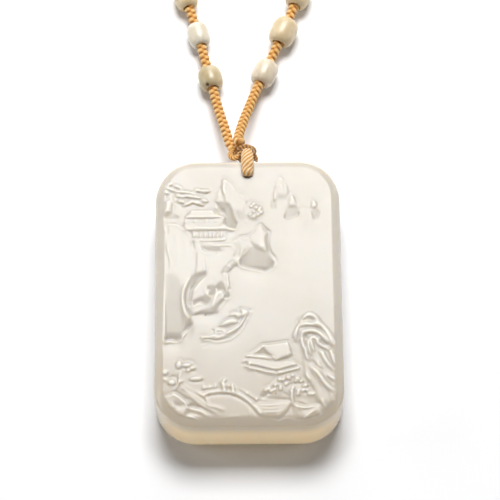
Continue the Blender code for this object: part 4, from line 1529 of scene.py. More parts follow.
    def pine(self) -> None:
        """Carve the old pine at the upper left: flat needle clumps over a bent trunk."""
        for u, v, end_u, end_v, width in self.clumps:
            self.stroke(0.55, width, u, v, end_u, end_v, ends=0.7)
            self.stroke(-0.24, 0.5, u, v - self.shadow, end_u, end_v - self.shadow, ends=0.6)
        self.strokes(
            -0.20, 0.55, (-42.5, 60.2, -41, 59.6, -39.8, 59), (-39.4, 59, -38.8, 58, -37, 57.5),
            (-36.6, 55.3, -31.3, 55, -27, 54.4, -24, 53.5), (-24, 53.6, -22.3, 55, -21, 56.2),
            (-38, 52.7, -34, 52.9, -30, 52.3, -27, 51.6, -25.5, 52.3), (-39.4, 50.4, -37.3, 49.5,
            -36.2, 47.7, -34.8, 47), (-33, 47.2, -31.3, 48, -30, 49.2, -28.5, 49.2), (-26.8, 48.2,
            -24, 47.8, -21.8, 49.6), (-37.8, 49.4, -35, 49.4, -33, 51.6), (-44, 58.6, -42, 56.6,
            -40, 56))
        self.layer(
            0.16, 0.24, (-44.6, 51.5, -42, 51.8, -41, 50.5, -40.9, 47.5, -41.6, 44.8, -45.5, 44.4,
            -45.2, 48), moat=0.10)
        self.stroke(0.16, 1.0, -43.2, 51.5, -43.4, 48, -44.4, 45)
        self.strokes(
            0.14, 0.6, (-42.2, 51.5, -42.3, 53.5, -41.9, 55), (-40.6, 50.8, -39.5, 52, -40.2, 54))
        self.stroke(-0.22, 0.8, -40.7, 50, -40.3, 47.5, -41, 44.2)
        self.slope(
            0.20, (-45.5, 45, -41.5, 45.3, -39, 44, -37, 41.5, -39, 39.8, -43, 40.3, -45.6, 41.5))

    def hall(self) -> None:
        """Carve the two-storey hall beside the pine."""
        self.layer(0.10, 0.14, (-33.6, 41, -13.6, 41, -13.4, 34, -34, 34), moat=0.10)
        self.layer(
            0.14, 0.36, (-30.6, 45.6, -19.4, 45.6, -17.2, 43.8, -14.6, 42.2, -12.8, 41.5,
            -14.5, 41.1, -34.4, 41.1, -32.6, 43.4), moat=0.20, edge=0.8)
        self.stroke(0.10, 0.55, -30.4, 45.2, -25, 45.3, -19.6, 45.2, ends=0.9)
        self.stroke(0.16, 0.6, -33.9, 41.9, -24, 41.8, -14.4, 41.9, ends=0.8)
        self.stroke(-0.16, 0.6, -34.4, 40.6, -24, 40.5, -14, 40.7, ends=0.8)
        for post in self.upper_posts:
            self.stroke(0.16, 0.6, post, 39.8, post + 0.1, 38.2, ends=0.9)
        self.layer(
            0.16, 0.42, (-34.4, 37.6, -13.6, 37.7, -11.6, 36.2, -9.6, 35.1, -7.6, 34.6, -8.6, 33.9,
            -13, 33.9, -34, 33.9, -35, 35.8), moat=0.18, edge=0.8)
        self.stroke(0.14, 0.7, -28.2, 35.7, -20, 35.4, -13, 35.7, -10, 35, -8, 34.6, ends=0.7)
        self.stroke(-0.18, 0.6, -33.6, 33.5, -24, 33.3, -12.8, 33.5, -9.5, 33.8, ends=0.7)
        self.layer(0.12, 0.14, (-30.8, 33, -12.9, 33, -12.8, 29, -30.6, 29), moat=0.06)
        for number, post in enumerate(self.posts):
            self.stroke(0.15, 0.55, post + 0.9, 32.6, post + 0.9, 29.8, ends=0.9)
            depth = -0.20 if number % 3 else -0.28
            self.stroke(depth, 0.5, post, 32.6, post, 29.6, ends=0.9)
        self.stroke(-0.14, 0.6, -30.4, 29.6, -21, 29.3, -12.8, 29.7, ends=0.8)
        self.stroke(0.22, 0.8, -29.4, 28.3, -21, 28.1, -14, 28.4, -12.4, 28.9, ends=0.6)
        self.stroke(0.12, 0.7, -11.7, 27.2, -9, 25.8, -7, 23.2)

    def shrub(self) -> None:
        """Carve the leafy shrub that grows on the peak's right side."""
        self.layer(
            0.08, 0.20, (0.2, 49.2, 1.8, 50.3, 3.6, 50, 5.6, 48.6, 7.6, 47.8, 8.3, 46, 8.8, 44,
            8.2, 42.8, 6.3, 41.8, 4.8, 40.2, 2.5, 40.3, 0.6, 41, -0.3, 44), moat=0.18)
        for u, v, size in self.lumps:
            self.lump(0.38, (u, v), size, size * self.squat, 30)
        self.dots(-0.24, 0.6, 1.7, 48.8, 2.5, 44.3, 4.4, 45.3, 1.5, 46.6, 2.3, 42.6, 0.7, 44.4)
        self.stroke(0.10, 0.5, 0.3, 45, 0.5, 42.8, 1.3, 41.5)

    def middle_rock(self) -> None:
        """Carve the middle rock with its lit facet, and the long slope down to the water."""
        self.layer(
            0.04, 0.36, (-8.6, 27.5, -4, 29.8, 0.3, 30, 3.4, 32.2, 5, 34.8, 6.8, 36.8, 8.8, 34.4,
            10.2, 32.8, 9.9, 30, 10, 26, 10.4, 22.8, 11.8, 20, 13.8, 17.5, 14.6, 14.5, 12.5, 11.5,
            9, 9.6, 4, 10.6, -3, 12.4, -7.6, 15.5, -8.2, 20), fade=4.0, moat=0.24)
        self.layer(
            0.06, 0.66, (6.8, 36.5, 5.2, 34.6, 3.8, 32.6, 2, 30.8, 1.2, 29.2, 2.2, 27, 3.4, 25.4,
            6, 23.9, 8, 23.1, 9.9, 22.4, 10, 25, 9.6, 28, 9.8, 31.6, 10.1, 32.6, 8.7, 34.2),
            moat=0.0, edge=1.4)
        self.stroke(
            -0.34, 1.0, 7.8, 36.4, 9.6, 33.9, 11.4, 32.8, 11.4, 31.6, 10.7, 29.5, 10.6, 26.5,
            11, 23.8, 11.9, 20.8, 13.6, 18.3, 14.9, 16.4, ends=0.5)
        self.slope(
            0.62, (3.4, 25, 9.8, 22.3, 11.5, 20.4, 13, 18.5, 13.9, 15, 13, 12.4, 10.5, 10.4, 9, 9.8,
            7.5, 10.3, 4, 11, 0, 11.8, -3, 12.8, -4.4, 14, -4.7, 17, -4, 20, -2, 24))
        self.slope(0.22, (-7.6, 26, -4.4, 28, -4, 24, -4.6, 19, -6.4, 17, -7.8, 18.6))
        self.strokes(
            0.09, 0.8, (-3.8, 17, -3, 19, -1.5, 20.5, 0, 22.5, 0.8, 25), (-8, 24.6, -6.8, 22.6,
            -6.3, 20, -6, 17), (0.5, 28.4, 2.6, 31.4, 5, 34.6), (-3, 28.7, -1.6, 29.3, 0, 29),
            (13.5, 18, 14, 17, 14.5, 16))
        self.strokes(
            -0.14, 0.6, (-6.2, 22.5, -6.5, 20, -7.3, 18.3), (-8.5, 27, -7.2, 25, -6.3, 22.8),
            (1.2, 27, 1.8, 25.6, 3, 24.5), (-4.6, 30, -4, 29.2, -3.4, 28), (0.2, 30, 0.4, 29,
            1, 28))
        self.dots(-0.12, 0.7, -5, 19, -0.6, 24.4)

    def left_cliff(self) -> None:
        """Carve the tall cliff on the left, in folds one before the other."""
        self.layer(
            0.10, 0.34, (-29, 28.9, -26.6, 28, -25.3, 24, -24.3, 22.2, -21.2, 20.4, -21.3, 15,
            -21.8, 9.8, -28.5, 9, -30, 20), moat=0.14)
        self.layer(
            0.05, 0.80, (-45.8, 38.2, -43, 38.6, -40.6, 38.1, -38, 37.7, -36.3, 36.6, -35, 35.2,
            -33.4, 33.6, -31.9, 32.4, -30.7, 31, -30.3, 27, -29.3, 23.4, -28.2, 19, -28.3, 14,
            -29, 9, -30.5, 6, -32.2, 2, -33.9, -1.5, -34.4, -6, -33.4, -11, -31, -15.6, -33, -22,
            -36, -29, -45.9, -31, -46, 0), fade=8.0, moat=0.20)
        self.slope(
            0.80, (-44.6, 9.8, -42, 10.2, -37.5, 8.4, -36, 5, -35, 0, -35, -5, -34.6, -9.5,
            -32.5, -15, -30.3, -17, -30.2, -20, -31.5, -22, -34, -24.5, -35.3, -26, -35.8, -28,
            -38, -29.3, -44.6, -28), soft=4.5)
        self.slope(
            0.34, (-28.5, 9.6, -22.4, 10.6, -22.7, 8.3, -25, 5.8, -27, 4.5, -29, 1.5, -30.3, -1.5,
            -30.7, -5, -30.6, -9, -31.6, -9.6, -32, -4, -30.6, 3))
        self.stroke(
            0.24, 0.9, -31.6, 6.4, -33.8, 2, -34.9, -3, -34.7, -8, -33.6, -12, -31.4, -15.3)
        self.stroke(0.14, 0.9, -34.4, -9.6, -33.6, -12.6, -31.6, -15.2, ends=0.7)
        self.strokes(
            -0.24, 0.8, (-30, 6.5, -32, 2, -33.2, -1.5, -33.4, -5, -33, -9, -31.6, -13,
            -30.6, -15.8), (-27, 5, -29.5, 1, -30.6, -4, -31, -9.5))
        self.stroke(0.14, 0.6, -31.4, 1, -32.2, -4.5, -31.5, -10)
        self.stroke(0.12, 0.8, -43, 38, -40.8, 37.6, -38, 37.2, -35.3, 34.7, -32, 31.9, -30.8, 28)
        self.strokes(
            0.14, 0.6, (-46, 38, -45.5, 36, -45, 34), (-28.6, 28.3, -26.8, 27.5, -25.5, 24,
            -24.5, 21.9, -22, 20.4), (-43.6, 27, -43.2, 22, -42.2, 17.5, -42, 14), (-23.7, 17.5,
            -23.6, 14, -23, 10.5))
        self.strokes(
            -0.22, 0.6, (-43.8, 37.4, -43.4, 34.5, -43.6, 32), (-46.2, 35.5, -45.6, 33.5, -45, 32),
            (-44.5, 28.5, -44.6, 26, -44, 22, -43, 18, -42.7, 15, -43.3, 11), (-30.3, 29.5,
            -30.2, 26, -29.5, 24, -29.2, 23), (-28, 21.5, -28.2, 18, -28.3, 15.5, -28, 13),
            (-21.3, 19.5, -22.9, 17.3, -22.9, 15, -22.4, 12.5, -22, 9.7))
        self.strokes(0.05, 1.2, (-39, 32, -38.2, 24, -38.8, 16), (-34, 29, -33.2, 21, -33.6, 13))
        self.strokes(-0.05, 1.2, (-36.4, 31, -36, 23, -36.4, 15), (-41, 30, -40.7, 22, -40.6, 14))

    def middle_cliff(self) -> None:
        """Carve the hollow cliff below the hall, with its ledge, caves and foot slopes."""
        self.layer(
            0.08, 0.34, (-25.5, 27.5, -21.5, 27, -14, 26.4, -9, 26, -7, 24, -5.4, 16, -8.5, 11.4,
            -10.8, 9, -9.8, 2, -11, -4.8, -14.6, -9, -17.5, -14, -24, -15, -30, -15, -31, -9,
            -29.8, 0, -22.5, 9, -21, 20), moat=0.0, fade=3.0, edge=1.6)
        self.strokes(
            0.18, 0.8, (-21.5, 26.2, -18, 25.2, -14, 25.5, -11, 25.6, -8.6, 25.2, -7.1, 23.3))
        self.slope(
            0.22, (-25, 24.8, -21, 24.5, -16, 24.2, -14.6, 22.5, -17, 20.6, -21, 21.2, -24, 23.2))
        self.strokes(
            -0.20, 0.7, (-17, 21, -15, 21.4, -13, 22), (-7.3, 17, -10, 15, -13, 11.5, -13.7, 9.5,
            -13, 7.5, -12.3, 5), (-5, 15.6, -6, 13.5, -8.5, 11, -10.4, 9), (-12.8, 9, -12.2, 6,
            -11.8, 3, -11, 0.5), (-9.8, 11, -10.2, 8, -10.2, 5, -9.6, 3, -9.4, 0.8))
        self.slope(
            0.26, (-7.6, 17.2, -5, 15.8, -6.2, 13, -9, 10.4, -11, 8.6, -13.8, 9.4, -12.6, 12))
        self.strokes(
            0.13, 0.6, (-11, 8, -10.8, 4, -10.5, 2.3), (-11.8, 14, -9.4, 12.2, -11.4, 9.6),
            (-22.9, 1.2, -23, -1.5, -21.3, -3.4), (-29.5, -10, -27, -8.2, -25.4, -8))
        self.strokes(0.05, 1.1, (-16, 20, -15.4, 13, -15.8, 7), (-19, 9, -17, 5, -17.2, 2.5))
        self.strokes(-0.06, 1.1, (-19.5, 20, -19.3, 14, -20, 8))
        self.slope(
            0.44, (-16.8, 3, -15, 5.2, -13, 4.2, -12, 2, -11, 1, -9.4, 1, -10.6, -1, -10.3, -3,
            -10.6, -4.6, -12.8, -5, -13, -2.5, -14, -0.7, -16.3, -0.7, -17.2, 1.3), soft=0.8)
        self.slope(
            0.42, (-21.5, 2.5, -19, 3.2, -17.3, 1.6, -17.9, -1, -18.4, -3.1, -20.8, -3.7, -21, -0.5,
            -21.8, 1), soft=0.8)
        self.slope(
            0.42, (-30, -5.3, -27.3, -4.8, -24, -3, -22, -2.8, -20.6, -3.6, -20.7, -5.5,
            -21.5, -7.6, -23.5, -8.7, -25.5, -7.2, -27.5, -7.7, -29.5, -8.9), soft=0.8)
        self.stroke(0.22, 1.0, -15.2, -1.6, -17, -3, -18.3, -6, -19, -8.7, ends=0.6)
        self.slope(
            0.46, (-14.5, -4.8, -12.6, -4.8, -13.3, -7, -15.3, -9.5, -16.3, -11.5, -16.6, -13.5,
            -18.5, -14.3, -22, -14.9, -25, -14.3, -29.5, -15, -30.6, -15.4, -28, -12.8, -25, -11.2,
            -21, -10.4, -18.5, -9.2, -16.5, -6.8), soft=1.0)

    def boat(self) -> None:
        """Carve the covered boat that lies slanting on the water."""
        self.layer(
            0.22, 0.34, (-25.2, -26.3, -21, -26.2, -18.6, -25.3, -16, -26.2, -13, -25.2, -11, -23.6,
            -8, -22.2, -5, -20.2, -3.2, -17.6, -1.4, -15, 0.8, -12.3, 1.4, -12.4, 0.4, -14.3,
            -1, -17, -3, -21, -5.5, -24.4, -10, -27.9, -14, -28.9, -17.6, -29.4, -21, -28.2,
            -24.4, -28), moat=0.10)
        self.slope(
            0.40, (-23.8, -27, -20, -27, -16, -27, -13, -25.4, -11, -24, -8, -22.6, -5, -20.6,
            -3.3, -18.2, -1.5, -15.6, 0.6, -12.6, 1.2, -12.5, 0.2, -14.2, -1.2, -16.8, -3.2, -20.8,
            -5.7, -24.2, -10, -27.6, -14, -28.6, -17.6, -29.1, -21, -28, -24, -27.9), soft=0.8)
        self.stroke(0.16, 0.6, -25, -26.6, -21, -26.2, -18.8, -25.5, -16.2, -26.2, ends=0.6)
        self.stroke(
            0.18, 0.6, -11.4, -24, -8.5, -22, -5.5, -20.2, -4, -18.8, -2.8, -17, -1.6, -14.8)
        self.layer(
            0.20, 0.42, (-15.4, -20.1, -13.2, -18.2, -11, -16.8, -9, -16.2, -6.8, -16.6,
            -5.6, -17.8, -6.2, -18.9, -9, -19.2, -12, -20.1), moat=0.26, edge=0.7)
        self.stroke(0.10, 0.8, -14.2, -19.4, -11, -17.8, -7, -17.8)
        self.layer(
            0.20, 0.38, (-10.2, -14, -8, -12.8, -5.4, -12.7, -4, -14, -5.2, -15.8, -7.4, -15,
            -9, -15), moat=0.22, edge=0.7)
        self.layer(
            0.22, 0.40, (-4.4, -11.2, -2.5, -11, 0.2, -12.2, -0.4, -13.8, -2.4, -15.1, -4.2, -14.6),
            moat=0.18, edge=0.7)
        self.strokes(
            -0.26, 0.6, (-9.2, -15.6, -7.5, -15.2, -6.3, -16.2), (-6, -17.2, -4.6, -16.4,
            -3.2, -16), (-16.6, -20.8, -14, -20.9, -11, -20.4, -8, -19.6, -5.6, -19.4),
            (-16.4, -21.3, -13, -22, -10, -21.8, -8, -21), (-4.3, -10.5, -4.5, -12, -4.4, -13.5),
            (-13.4, -25.2, -10.4, -25.5, -7.6, -24))
        self.stroke(0.10, 0.45, -1, -15.8, -0.8, -17, -0.7, -18)
        self.strokes(
            0.20, 0.5, (-17.8, -22.4, -17.5, -25), (-17.5, -22.9, -13.4, -22.9), (-17.5, -24.5,
            -13.4, -24.4), (-13.3, -22.7, -13.2, -24.6))
        self.stroke(-0.22, 0.45, -17, -23.7, -13.8, -23.7, ends=0.8)
        self.dots(-0.34, 0.6, -18.8, -23)
        self.strokes(
            -0.12, 0.6, (-25, -30.5, -23.7, -30.1, -22.5, -29.8), (-24.5, -32.2, -22.7, -31.7,
            -21, -30.7))

    def pavilion(self) -> None:
        """Carve the waterside pavilion with its crossing roofs, second tier and deck."""
        self.layer(
            0.20, 0.25, (-1.5, -42.9, 5, -44, 9, -45.2, 14, -46, 20, -45, 26.5, -43.4, 26.5, -44.6,
            16, -47.4, 9, -46.6, 0, -44.4), moat=0.10)
        self.stroke(0.14, 0.6, 0, -43.6, 5, -44.5, 9, -45.8, 13.5, -46.8, ends=0.6)
        self.stroke(0.18, 0.7, 15.8, -46.6, 20, -45.5, 25.8, -43.9, ends=0.7)
        self.stroke(-0.12, 0.7, 16, -47.9, 20, -46.7, 26.5, -45.3, ends=0.6)
        self.layer(
            0.18, 0.32, (-0.6, -38.9, 5, -39, 12, -40, 16, -40.6, 20, -39.8, 23.2, -40.4,
            25.4, -42.3, 20, -43.9, 16, -45.2, 13, -45.2, 8, -44, 4, -42.9, -0.6, -42.1), moat=0.16,
            edge=0.8)
        self.stroke(
            0.13, 0.7, 0.6, -41.4, 5, -42.2, 10, -43.5, 14, -44.4, 19, -43.4, 24.4, -42.2, ends=0.7)
        self.stroke(
            -0.15, 0.7, 1, -42.7, 4, -43.3, 7, -44, 11, -45.1, 13.8, -45.6, 17, -45.4, 20, -44.5,
            25, -43.1, ends=0.7)
        self.stroke(
            -0.15, 0.75, 1.3, -38.7, 5, -39.1, 9, -39.8, 12, -40.4, 15, -40.9, 17.2, -41.6,
            ends=0.6)
        self.stroke(-0.15, 0.75, 15.4, -40.2, 19, -39.3, 22.6, -38, ends=0.6)
        self.layer(
            0.24, 0.36, (-1.6, -37.3, 3, -36.6, 8, -36.6, 14, -38, 13.6, -39.8, 8, -38.9, 0, -38),
            moat=0.10, edge=0.8)
        self.stroke(0.13, 0.55, 1, -37.9, 5, -38.2, 9, -38.9, 12, -39.7, ends=0.6)
        self.layer(
            0.18, 0.43, (7.2, -31.2, 10, -31, 15, -30.4, 20.6, -29.6, 21.6, -32, 22.7, -35.8,
            21, -36.9, 17, -38.4, 14.4, -39.8, 12.6, -37.8, 10.2, -35.2, 8.2, -33), moat=0.26,
            edge=0.8)
        self.stroke(0.11, 0.7, 22.4, -35.8, 20.6, -36.8, 17, -38.1, 14.5, -39.3, ends=0.7)
        self.stroke(0.11, 0.55, 8.5, -33.2, 10.3, -35, 12, -37, 13.8, -39, ends=0.7)
        self.slope(
            0.16, (4.3, -35.2, 6.6, -33.3, 8.6, -33.5, 10, -35, 11.5, -37, 12.9, -39.2, 11, -38.2,
            9.6, -37, 7, -36.7, 4.5, -36.1), soft=0.6)
        self.stroke(0.27, 0.7, 7.4, -31.8, 5, -33.8, 3, -35.3, 1, -36.3, -1.2, -37, ends=0.7)
        self.stroke(
            -0.12, 0.65, -1.2, -35.9, 1.3, -35.1, 3.8, -33.4, 5.3, -32.1, 6.8, -31, ends=0.6)
        self.stroke(
            0.16, 0.6, -3, -41.5, -2.5, -40.1, -1, -39.9, 0, -41, -0.5, -42.6, -2, -42.8, ends=0.9)
        self.dots(-0.30, 0.6, -1.5, -41.4, -0.1, -38.4, 14.3, -46.2, 3.9, -45.9, -3.3, -41.5)
        self.dots(-0.16, 0.5, -1.6, -37.5, -0.2, -40.3, 1.8, -45.4, 6, -46.6, 7.5, -47.2)
        self.strokes(
            -0.07, 0.5, (-3, -44.4, -3, -46.2), (0.7, -45, 0.9, -47.2), (4.9, -46.2, 5, -48.2))

    def tall_rock(self) -> None:
        """Carve the tall layered rock at the lower right, of arches one inside the other."""
        self.layer(
            0.10, 0.34, (24, -28.8, 24, -25, 25.2, -21.5, 27, -18, 29.2, -15, 31.5, -13.4,
            33, -13.4, 35, -14.2, 36.9, -16, 38.2, -18, 40, -20.4, 42, -22.8, 43.8, -25.2,
            45.9, -29, 46, -66, 41, -67, 36, -62, 31, -52, 29, -45, 28.2, -36, 26.8, -29.5),
            moat=0.24, fade=6.0)
        self.strokes(
            0.50, 1.6, (28.8, -16.6, 31, -14.6, 33, -14.4, 35, -15.4, 37, -18.2), (27, -20.6,
            30, -19.6, 33, -19.8, 36.5, -19.4, 38, -19.3))
        self.strokes(
            0.60, 1.45, (24.8, -27.4, 24.9, -25, 25.6, -23.2, 26.6, -21.8), (28.2, -27, 28.3, -25,
            29.7, -23.7, 32.5, -23.3, 35, -23.6, 37.5, -24.8, 39, -26.6, 41, -28.6, 43, -29.9,
            45, -31), (37.4, -20, 39.5, -21.2, 41, -23, 43, -25.2, 45, -28.6), (40, -24.1, 42, -27,
            44, -29.1, 45.6, -30.6), (32.2, -28.4, 33, -27.2, 35, -27.1, 36.5, -28.2, 37.1, -30.3,
            39, -31.8, 41, -33, 42.5, -34.2))
        self.strokes(
            -0.41, 0.75, (26, -27.6, 26.4, -24.4, 27, -22.2, 28, -21.2), (29, -22, 30.5, -21.5,
            33, -21.4, 35.5, -21.8, 37.5, -22.6, 39.5, -24, 40.5, -25.7, 42, -27.8, 44, -30.2),
            (29.3, -27, 29.6, -26, 31, -25.1, 33, -24.8, 34.5, -25.1, 36.5, -26, 38, -27.2,
            39, -28.6, 40.3, -30.1, 42, -31.4))
        self.slope(
            0.30, (29.2, -25.8, 31, -25, 34, -24.9, 37, -26, 39.5, -28.8, 42, -31.3, 40, -31.8,
            37.4, -30.4, 36.6, -28, 35, -26.7, 33, -26.7, 31.6, -28, 30, -28), soft=0.7)
        self.strokes(
            0.50, 0.9, (28, -28, 28.3, -30, 29, -32, 30, -34, 30.5, -37, 31.3, -39.5), (33, -28.6,
            33.3, -31, 34.3, -34.4), (31.2, -29, 31.6, -32.5, 32.6, -36.4))
        self.strokes(
            -0.33, 0.55, (29.8, -28, 29.9, -30.5, 30.7, -33, 31.5, -37), (34.5, -30.6, 34.5, -32,
            34.9, -33.6), (32.3, -29.6, 32.6, -32.5, 33.4, -35.6), (35.5, -30.5, 37, -31.9,
            39, -33.6, 41, -34.6, 42, -35.7), (36.4, -34.8, 37.4, -37.5, 39.5, -41.2, 42, -44.4),
            (42, -35.6, 42.7, -38, 44.2, -41.5, 45.2, -43.4))
        self.layer(
            0.42, 0.62, (37.2, -34.6, 39.6, -35, 40.4, -37, 41.7, -39.5, 43.2, -42, 44.8, -44.6,
            41.5, -43.4, 39.4, -40.4, 38, -37.6), moat=0.08, edge=0.8)
        self.layer(
            0.40, 0.60, (42.6, -34.9, 43.6, -34.2, 45.3, -37, 45.6, -40, 45.2, -41.6, 43.9, -40.2,
            42.9, -37.6), moat=0.08, edge=0.8)
        self.strokes(0.60, 1.7, (34, -44, 35.5, -46, 37.5, -49, 39.5, -52, 42, -54.6, 45, -57))
        self.strokes(
            -0.35, 0.8, (34.8, -47, 36.4, -49.6, 38.3, -52.6, 40.2, -55, 42.4, -57.2), (33.2, -40,
            34.4, -42.4, 36, -44.6))
        self.strokes(
            0.24, 0.8, (41, -47.7, 43, -49, 45.2, -50.2), (30, -46.5, 30.5, -48.3, 32.3, -50.3),
            (38, -61, 39, -64, 41, -66.3), (36, -40, 37, -42.4, 38.5, -44))
        self.strokes(
            -0.16, 0.8, (41, -49.4, 42.5, -51.2, 44.5, -52.4), (36.5, -52, 37.2, -54.6, 38, -56.4),
            (41, -56, 41.2, -58, 42, -60), (31.2, -44, 32.5, -47.5, 34.6, -51))
        self.layer(
            0.38, 0.50, (41.8, -56, 45.4, -58, 45, -61.6, 43.3, -62, 42, -59), moat=0.10, edge=0.9)
        self.dots(-0.14, 0.7, 33.8, -17.7, 28.8, -18, 35.3, -17.2)

    def right_tree(self) -> None:
        """Carve the leafy tree before the tall rock."""
        self.layer(
            0.02, 0.08, (8, -57.6, 8.6, -54.8, 11, -53.8, 12.6, -52, 15, -49.8, 18, -48.6,
            22, -47.2, 25.4, -48.2, 27.8, -50.4, 31, -51.4, 33.4, -54, 34.6, -57.6, 33, -59.8,
            28, -59.4, 24, -60, 18, -58.8, 12, -58.6), moat=0.10)
        for u, v in pairs(self.leaves):
            self.lump(0.36, (u, v), 1.25, 1.0, 20)
        self.dots(-0.36, 0.7, *self.gaps)
        self.layer(
            0.30, 0.30, (22, -55, 23.2, -55, 23.2, -60, 23.4, -64, 21.6, -64, 21.8, -59), moat=0.08,
            edge=0.7)
        self.strokes(
            0.18, 0.6, (22.8, -56.6, 22.4, -58.6, 22.2, -60.6), (21, -55.8, 21.7, -56.6,
            22.5, -57.2))
        self.strokes(
            -0.20, 0.55, (23.4, -57.6, 23.3, -59, 23.3, -60.6), (22, -62, 22.2, -66, 22.5, -70),
            (7, -60.5, 13, -60.9, 20, -61.2), (17, -57.2, 19, -58.4, 21, -59.5))
        self.slope(0.22, (6, -57, 9, -57, 9.4, -59.4, 7.6, -60.7, 6, -60), soft=0.8)

    def banks(self) -> None:
        """Carve the low banks at the foot, with the stream between them."""
        self.layer(
            0.12, 0.34, (2.3, -64, 5, -63, 8, -63.4, 12, -63.4, 16, -62.4, 21.4, -62.5, 21.2, -64.6,
            20, -66.8, 18, -68.4, 15.5, -70.2, 10, -69.8, 6.6, -69.3, 4.4, -67.8), moat=0.18)
        self.strokes(
            -0.14, 0.5, (7, -65, 10, -65.3, 14, -65.2), (5.6, -66.7, 10, -67, 15, -66.8),
            (8.6, -68.3, 11, -68.5, 14, -68.5), (3.4, -67, 5.4, -69.6, 8, -70.4))
        self.strokes(
            0.12, 0.5, (5, -64, 10, -64.4, 16, -64), (6, -65.9, 10, -66.2, 16, -65.9), (7.6, -67.7,
            11, -67.8, 16.6, -67.4))
        self.stroke(
            -0.22, 0.7, 21.8, -63.8, 20.4, -67, 18.3, -69.2, 15.5, -70.6, 10, -70.5, 6, -70)
        self.stroke(
            0.22, 0.7, 9.6, -71.2, 13, -72, 15, -72.8, 17, -72, 20, -71.4, 23, -72, 25, -72.6,
            27.8, -72.5, ends=0.6)
        self.layer(
            0.12, 0.30, (23.4, -63.6, 26, -64.6, 30, -65.3, 33, -64.6, 37, -64.3, 39.4, -69.2,
            37.4, -70.4, 34, -71.6, 28, -71.9, 25.2, -69, 23.8, -66.4), moat=0.14)
        self.strokes(
            0.20, 0.8, (23.8, -64, 26, -65, 30, -65.7, 33, -65, 36.5, -64.7), (36, -66, 34, -67,
            31, -69, 28.5, -71.4))
        self.stroke(0.14, 1.2, 36.4, -67.6, 37.4, -69.2, ends=0.9)
        self.strokes(
            -0.18, 0.6, (33.5, -68.6, 34.6, -69.2, 35.5, -69.8), (28, -66.9, 29.4, -66.8,
            31, -66.6), (25.6, -66.8, 26.6, -68.4, 27.6, -70))
        self.strokes(
            0.10, 0.6, (25.5, -61.8, 27.5, -62.3, 29.5, -63.5, 32, -64.2), (-20.7, -70.8,
            -15, -70.9, -8, -70, -5, -70), (0, -66, 0.2, -68, 0.2, -70.5))
        self.dots(0.10, 0.6, 25.5, -70.7, 33, -71.3, 34.5, -71.5)

    def bridge(self) -> None:
        """Carve the arched bridge, its rails and two tiny walkers as plain lumps."""
        self.stroke(
            0.34, 0.9, -23.4, -58.1, -21, -57.2, -18, -56.7, -15, -56.4, -12, -56.7, -9, -57,
            -7.5, -57.3, -5, -58.4, -2.5, -59.9, -0.5, -61.6, 1.5, -63.6, 3.5, -65.6, 5.5, -68,
            ends=0.7)
        self.stroke(
            -0.26, 0.7, -23, -59.6, -20.7, -58.8, -17.3, -58.2, -14, -58.2, -11, -58.3, -8, -59.2,
            -5, -60.6, -2.5, -62.2, 0, -64.1, 2, -66.4, 4, -69, ends=0.7)
        self.dots(-0.20, 0.65, -20.7, -58.9, -8, -59.4, -6, -60.3)
        self.dots(-0.12, 0.5, -23, -59.4, -18.5, -58.6, -4, -61.2)
        self.stroke(
            -0.20, 0.55, -25.8, -56.8, -24, -56, -21, -55.4, -17.5, -55.1, -14.7, -55.4, ends=0.7)
        self.stroke(0.18, 0.5, -24.2, -54.9, -20, -54.5, -17.6, -54.3, ends=0.7)
        self.stroke(-0.20, 0.55, -5, -56.6, -3, -57.8, -1, -59.5, 1, -60.9, 3.3, -62.3, ends=0.7)
        self.stroke(0.14, 0.5, -4.6, -55.9, -2.4, -57, 0, -58.6, 3.6, -61, ends=0.6)
        self.strokes(
            0.22, 0.5, (-24, -53.5, -23.7, -55.3), (-17.9, -52.6, -17.6, -54.4), (-1.5, -57,
            -1, -58.6), (3.8, -60.4, 3.7, -62.2), (-20.8, -53.4, -20.6, -54.8))
        self.lump(0.30, (-13, -50.4), 1.1, 1.1)
        self.stroke(0.46, 1.1, -13.9, -52, -13.4, -53.6, -12.9, -55.6, ends=0.9)
        self.stroke(0.20, 0.6, -12.6, -52.8, -11.2, -53.7, -10.2, -54, ends=0.8)
        self.lump(0.32, (-8.9, -53.1), 0.85, 0.85)
        self.stroke(0.40, 0.9, -8.7, -54.4, -8.5, -55.8, -8.3, -57, ends=0.9)
        self.stroke(0.18, 0.5, -8, -54.3, -7.2, -54.8, -6.4, -55.4, ends=0.8)
        self.dots(-0.14, 0.5, -15.3, -53, -10.2, -55.2)
        self.stroke(-0.16, 0.5, -12.6, -54.9, -10.5, -55.1, -9.5, -55.5)
        self.stroke(0.24, 0.9, -26.6, -57, -24.5, -58.5, -23, -59.7, -22.2, -61.2, -21, -64)
        self.stroke(-0.18, 0.7, -25.8, -59, -24.2, -60.5, -23, -62.2)

